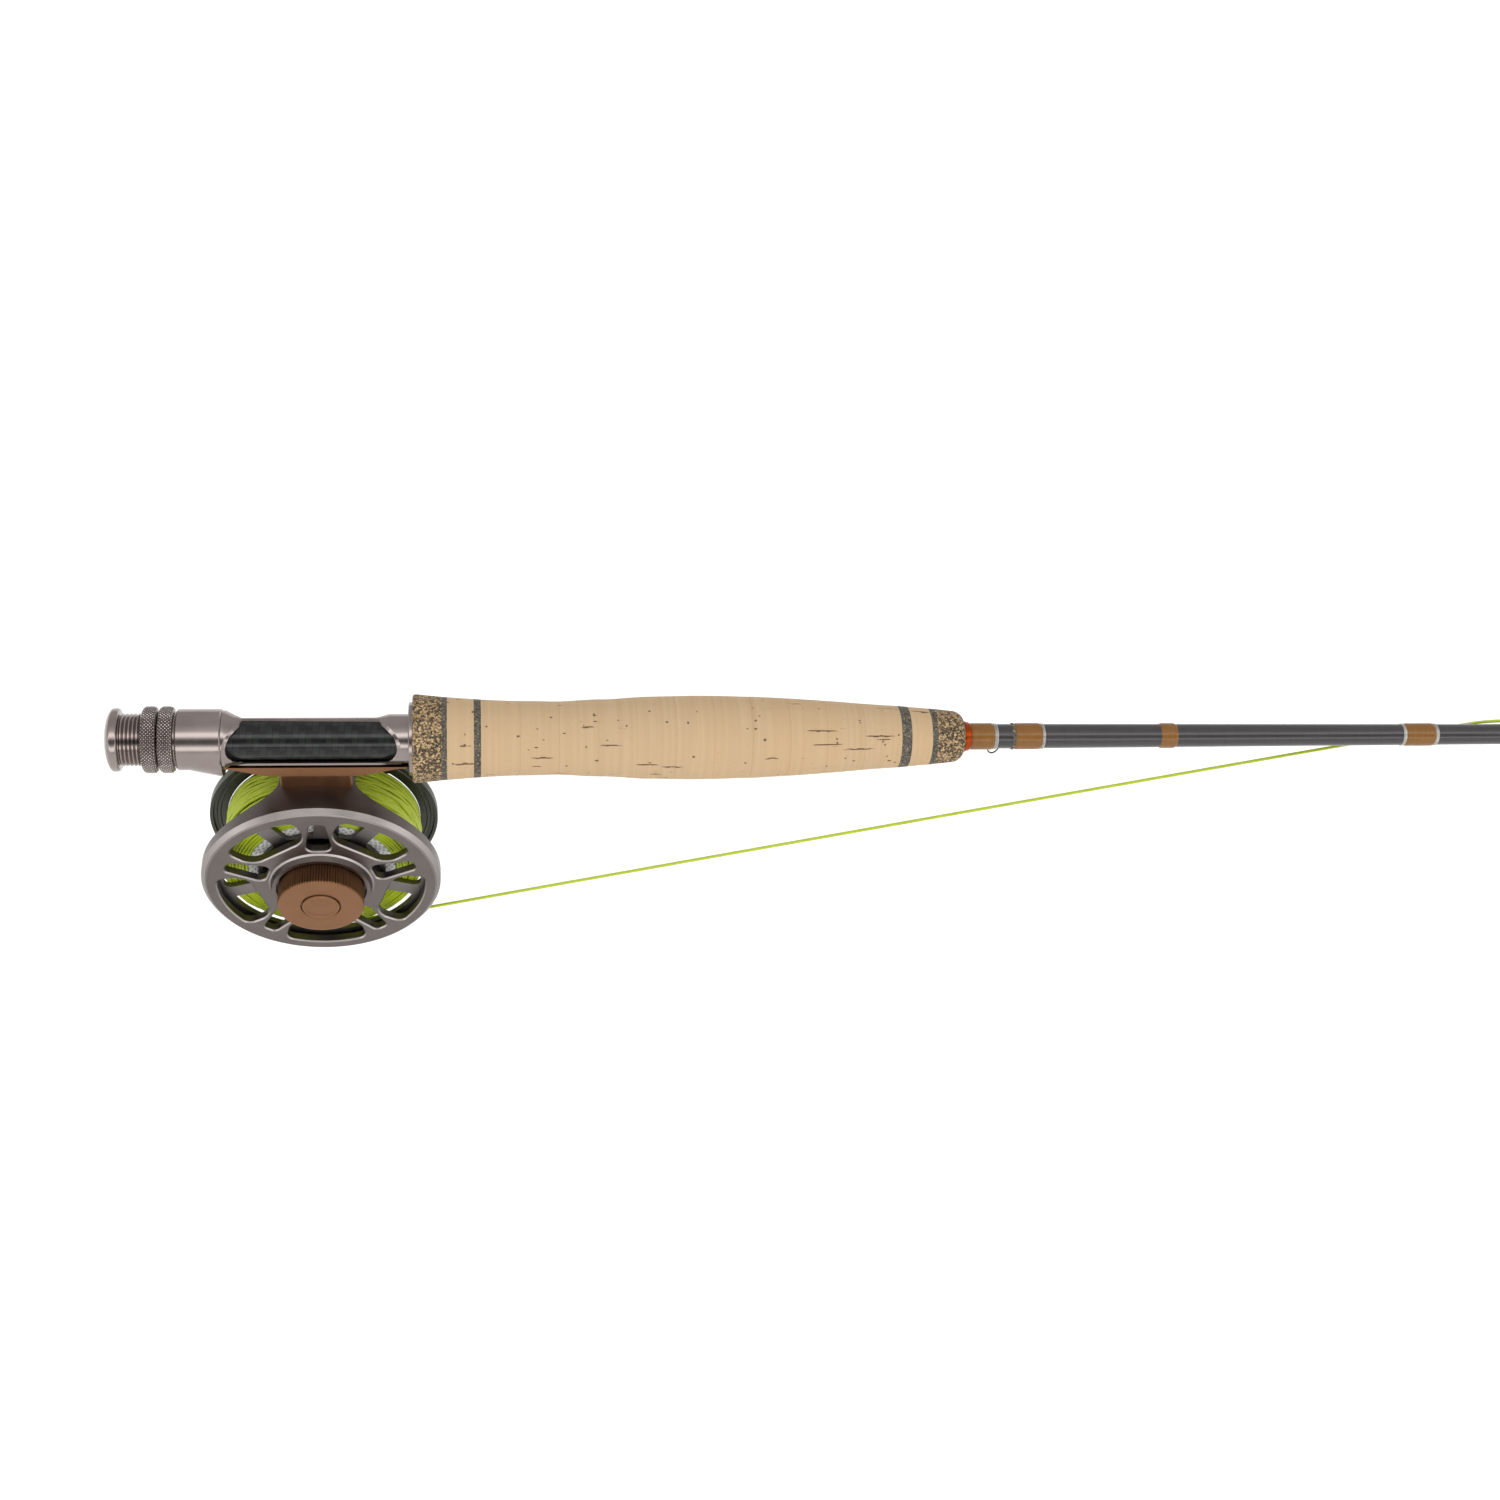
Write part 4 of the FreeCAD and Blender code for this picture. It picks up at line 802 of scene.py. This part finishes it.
def make_hook_keeper():
    """A small wire loop under the end of the first wrap."""
    low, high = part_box("hook_keeper")
    wire = 0.28 * MM
    x0, x1 = low.x + wire, high.x - wire
    near, far, deep = 4.86 * MM, 4.56 * MM, -low.z - wire
    route = []
    for a in np.linspace(0, math.pi, 15):
        share = (1 - math.cos(a)) / 2
        top = near + (far - near) * share
        route.append((x0 + (x1 - x0) * share, 0, -top - (deep - top) * math.sin(a)))
    curve_piece("hook_keeper_wire", [route], wire, "guide_wire", ["hook_keeper"], material="dark_wire",
                kind="NURBS")


# ---------------------------------------------------------------- reel pieces
def make_drag_knob():
    """The knob: a straight-milled skirt, a soft-edged flat face and a groove round its middle."""
    low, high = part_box("drag_knob")
    y0, y1, radius = low.y, high.y, (high.x - low.x) / 2
    groove = 6.35 * MM
    outline = [(y0 + 0.9 * MM, 1e-5), (y0 + 0.9 * MM, groove + 0.3 * MM), (y0 + 0.1 * MM, groove + 0.5 * MM),
               (y0, groove + 0.75 * MM)]
    outline += [(y0, r * MM) for r in np.linspace(8.5, 13.4, 5)]
    for a in np.linspace(0, math.pi / 2, 7):
        outline.append((y0 + 0.75 * MM * (1 - math.cos(a)), radius - 0.75 * MM * (1 - math.sin(a))))
    outline += [(y, radius) for y in np.linspace(y0 + 1.0 * MM, y1 - 0.6 * MM, 16)]
    outline += [(y1 - 0.2 * MM, radius - 0.15 * MM), (y1, radius - 0.5 * MM), (y1, 12.7 * MM)]
    outline += [(y0 + 2.2 * MM, 12.7 * MM), (y0 + 2.2 * MM, 1e-5)]
    flutes = 96

    def milled(places, angles):
        front = np.clip((places - y0 - 0.1 * MM) / (0.3 * MM), 0, 1)
        back = np.clip((y1 - 0.3 * MM - places) / (0.5 * MM), 0, 1)
        cut = np.abs(np.sin(angles * flutes / 2)) ** 0.7
        return -0.48 * MM * (1 - cut) * (front * back)

    rows = len(outline)

    def outer_only(places, angles):
        keep = np.zeros(rows)
        keep[8:rows - 3] = 1
        return milled(places, angles) * keep[:, None]

    turned("drag_knob_milled", outline, "brown_anodised", ["drag_knob"], "drag_knob", segments=832,
           axis="reel", swell=outer_only)


def make_medallion():
    """A plain round badge: slightly domed, with a raised border and two turned rings."""
    low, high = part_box("knob_medallion")
    y0, radius = low.y, (high.x - low.x) / 2
    outline = [(y0 + 0.12 * MM, 1e-5)]
    for r in np.linspace(0.3, 5.1, 40):
        ring = 0.05 * MM * max(0.0, 1 - abs(r - 2.9) / 0.2) + 0.05 * MM * max(0.0, 1 - abs(r - 4.1) / 0.2)
        outline.append((y0 + 0.14 * MM + 0.12 * MM * (r / 5.1) ** 2 - ring, r * MM))
    outline += [(y0 + 0.05 * MM, 5.3 * MM), (y0, 5.5 * MM), (y0, radius - 0.45 * MM),
                (y0 + 0.12 * MM, radius - 0.15 * MM), (y0 + 0.35 * MM, radius), (high.y, radius),
                (high.y, 1e-5)]
    turned("knob_medallion_badge", outline, "brown_anodised", ["knob_medallion"], "drag_knob", segments=160,
           axis="reel")


def make_handle():
    """The handle knob, waisted and full at its end, with three fine grip grooves."""
    low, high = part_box("handle_knob")
    centre = ((low.x + high.x) / 2, (low.z + high.z) / 2)
    length = high.y - low.y
    outline = []
    for t in np.linspace(0, 1, 56):
        swell = 4.15 + 1.45 * math.sin(math.pi * min(1.0, max(0.0, (t - 0.28) / 0.72)) ** 1.2) ** 1.2
        if t < 0.28:
            swell = 4.45 - 0.3 * math.sin(t / 0.28 * math.pi / 2)
        groove = sum(0.28 * max(0.0, 1 - abs(t - g) / 0.022) for g in (0.46, 0.55, 0.64))
        end = 0.9 * max(0.0, (t - 0.93) / 0.07) ** 2 + 0.5 * max(0.0, (0.03 - t) / 0.03) ** 2
        outline.append((low.y + length * t, (swell - groove - end) * MM))
    recess, bore = 2.9 * MM, 1.6 * MM
    outline += [(high.y, recess), (high.y - 2 * MM, recess), (high.y - 2 * MM, bore), (low.y, bore)]
    turned("handle_grip", outline, "handle_black", ["handle_knob"], "handle_knob", segments=96, axis="reel",
           centre=centre)


def wound(turns, radius, low, high, seed, wander, lift, sweep, steps=40):
    """The path of line wound on the spool: it sweeps across and back, and wanders as it goes."""
    points = []
    middle, half = (low + high) / 2, (high - low) / 2
    for i in range(int(turns * steps) + 1):
        t = i / steps
        a = 2 * math.pi * t
        phase = (t / sweep) % 2
        across = middle + half * (2 * phase - 1 if phase < 1 else 3 - 2 * phase)
        drift = wander * noise.noise((math.cos(a) + seed, math.sin(a), t * 0.85))
        rise = lift * noise.noise((math.cos(a) * 1.4, math.sin(a) * 1.4 - seed, t * 1.3))
        y = min(high, max(low, across + drift))
        r = radius + rise
        points.append((REEL_X + r * math.sin(a), y, REEL_Z + r * math.cos(a)))
    return points


def side_turns(inner, outer, pitch, y, seed, jitter):
    """Turns of line seen from the side of the pack, each a slightly uneven ring."""
    rings = []
    count = int((outer - inner) / pitch) + 1
    for k in range(count):
        base = inner + (outer - inner) * k / (count - 1)
        ring = []
        for i in range(60):
            a = 2 * math.pi * i / 60
            r = base + jitter * noise.noise((math.cos(a) * 1.5, math.sin(a) * 1.5, k * 3.1 + seed))
            depth = y + jitter * noise.noise((math.cos(a) * 2 + 9, math.sin(a) * 2, k * 1.7 + seed))
            ring.append((REEL_X + r * math.sin(a), depth, REEL_Z + r * math.cos(a)))
        rings.append(ring)
    return rings


def make_line_pack():
    """Fly line wound on the spool in crossing strands, over a solid core painted dark as the shade between
    them.
    """
    low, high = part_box("line_pack")
    outer = (high.x - low.x) / 2
    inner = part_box("backing")[1].x - REEL_X
    y0, y1 = low.y + LINE_RADIUS, high.y - LINE_RADIUS
    top = outer - LINE_RADIUS
    routes = [wound(20, top - 1.1 * MM, y0, y1, 3.0, 0.6 * MM, 0.1 * MM, 19),
              wound(25, top - 0.35 * MM, y0, y1, 11.0, 4.2 * MM, 0.5 * MM, 11.5)]
    options = {"body": "spool", "resolution": 2}
    curve_piece("wound_line", routes, LINE_RADIUS, "fly_line_green", ["line_pack"], **options)
    sides = []
    for y, seed in ((y0, 2.0), (y1, 5.0)):
        sides += side_turns(inner + 0.7 * MM, top - 0.9 * MM, 1.02 * MM, y, seed, 0.30 * MM)
    curve_piece("wound_line_sides", sides, LINE_RADIUS, "fly_line_green", ["line_pack"], cyclic=True,
                **options)
    # The core is painted with the line_shadow material: painted shade that shows between and under the
    # strands.
    lip = high.y - 0.03 * MM
    core = [(y0, inner), (y0, top - 0.9 * MM), (y1, top - 0.9 * MM), (lip, top - 0.1 * MM),
            (lip, top - 2.2 * MM), (y1, top - 2.6 * MM), (y1, inner)]
    turned("wound_line_shadow_core", core, "fly_line_green", ["line_pack"], "spool", "line_shadow", segments=128,
           axis="reel")


def make_backing():
    """The white backing under the line, seen as turns on both sides."""
    low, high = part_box("backing")
    outer = (high.x - low.x) / 2
    inner, thin = 21.5 * MM, 0.3 * MM
    sides = []
    for y, seed in ((low.y + thin, 1.0), (high.y - thin, 8.0)):
        sides += side_turns(inner + thin, outer - thin, 0.55 * MM, y, seed, 0.10 * MM)
    curve_piece("backing_turns", sides, thin, "white_backing", ["backing"], body="spool", cyclic=True,
                resolution=2)
    core = [(low.y + thin, inner), (low.y + thin, outer), (high.y - thin, outer), (high.y - thin, inner)]
    turned("backing_core", core, "white_backing", ["backing"], "spool", segments=128, axis="reel")


# ---------------------------------------------------------------- stage and light
def make_stage():
    """A wide pale floor below the rod."""
    half, drop = 30.0, 0.45
    mesh = bpy.data.meshes.new("floor")
    corners = [(-half, -half, -drop), (half, -half, -drop), (half, half, -drop), (-half, half, -drop)]
    mesh.from_pydata(corners, [], [(0, 1, 2, 3)])
    floor = bpy.data.objects.new("floor", mesh)
    bpy.context.scene.collection.objects.link(floor)
    paint(floor, "floor")


def make_world():
    """Even studio light with two long soft strips in front and above, and a dim gap between them."""
    world = bpy.data.worlds.new("studio")
    bpy.context.scene.world = world
    world.use_nodes = True
    tree = world.node_tree
    tree.nodes.clear()
    new = tree.nodes.new
    direction = new("ShaderNodeTexCoord").outputs["Generated"]
    parts = new("ShaderNodeSeparateXYZ")
    tree.links.new(direction, parts.inputs[0])
    front = new("ShaderNodeMath")
    front.operation = "MULTIPLY"
    front.inputs[1].default_value = -1.0
    tree.links.new(parts.outputs[1], front.inputs[0])
    angle = new("ShaderNodeMath")
    angle.operation = "ARCTAN2"
    tree.links.new(parts.outputs[2], angle.inputs[0])
    tree.links.new(front.outputs[0], angle.inputs[1])
    turn = new("ShaderNodeMapRange")
    turn.inputs["From Min"].default_value = -math.pi
    turn.inputs["From Max"].default_value = math.pi
    tree.links.new(angle.outputs[0], turn.inputs[0])
    ramp = new("ShaderNodeValToRGB")
    # Degrees up from the horizon in front, over the top and down behind, with the brightness there.
    brightest = 3.0
    stops = ((-180, 0.62), (-60, 0.5), (-20, 0.38), (4, 0.45), (10, 2.9), (21, 2.9), (27, 0.5), (38, 0.08),
             (50, 0.16), (57, 1.2), (61, 3.0), (73, 3.0), (80, 1.1), (110, 0.72), (150, 0.75), (180, 0.62))
    ramp.color_ramp.interpolation = "EASE"
    points = ramp.color_ramp.elements
    for degrees, level in stops[1:-1]:
        point = points.new((degrees + 180) / 360)
        point.color = (level / brightest,) * 3 + (1,)
    points[0].color = (stops[0][1] / brightest,) * 3 + (1,)
    points[len(points) - 1].color = (stops[-1][1] / brightest,) * 3 + (1,)
    tree.links.new(turn.outputs[0], ramp.inputs[0])
    studio = new("ShaderNodeBackground")
    studio.inputs["Strength"].default_value = brightest
    tree.links.new(ramp.outputs[0], studio.inputs[0])
    plain = new("ShaderNodeBackground")
    plain.inputs[0].default_value = (1, 1, 1, 1)
    plain.inputs[1].default_value = 1.0
    path = new("ShaderNodeLightPath")
    choose = new("ShaderNodeMixShader")
    tree.links.new(path.outputs["Is Camera Ray"], choose.inputs[0])
    tree.links.new(studio.outputs[0], choose.inputs[1])
    tree.links.new(plain.outputs[0], choose.inputs[2])
    tree.links.new(choose.outputs[0], new("ShaderNodeOutputWorld").inputs[0])


# ---------------------------------------------------------------- painting the CAD nodes
def paint_frame():
    """Gives each CAD node its slot's material."""
    slots = {part["node"]: part["material_slot"] for part in frame["record"]["subparts"]}
    slots["spool"] = "spool_metal"
    for node, obj in frame["nodes"].items():
        paint(obj, slots[node])


make_camera()
make_world()
make_stage()
paint_frame()
make_fly_line()

make_butt_cap()
make_knurled_ring("lock_ring")
make_knurled_ring("jam_ring")
make_cork_grip()
make_accent_rings()
make_trim_rings()
make_composites()
make_winding_check()
make_blanks()
make_wraps("butt_wraps", "brown_thread", ROOT, "butt_wrap")
make_wraps("dark_wrap", "dark_trim", ROOT, "dark_wrap")
for section in (2, 3, 4):
    make_wraps("thread_wraps_%d" % section, "brown_thread", "rod_section_%d" % section,
               "section_%d_wrap" % section)
make_silver_trims()
make_hook_keeper()
make_drag_knob()
make_medallion()
make_handle()
make_line_pack()
make_backing()
bpy.context.scene.view_settings.view_transform = "Standard"
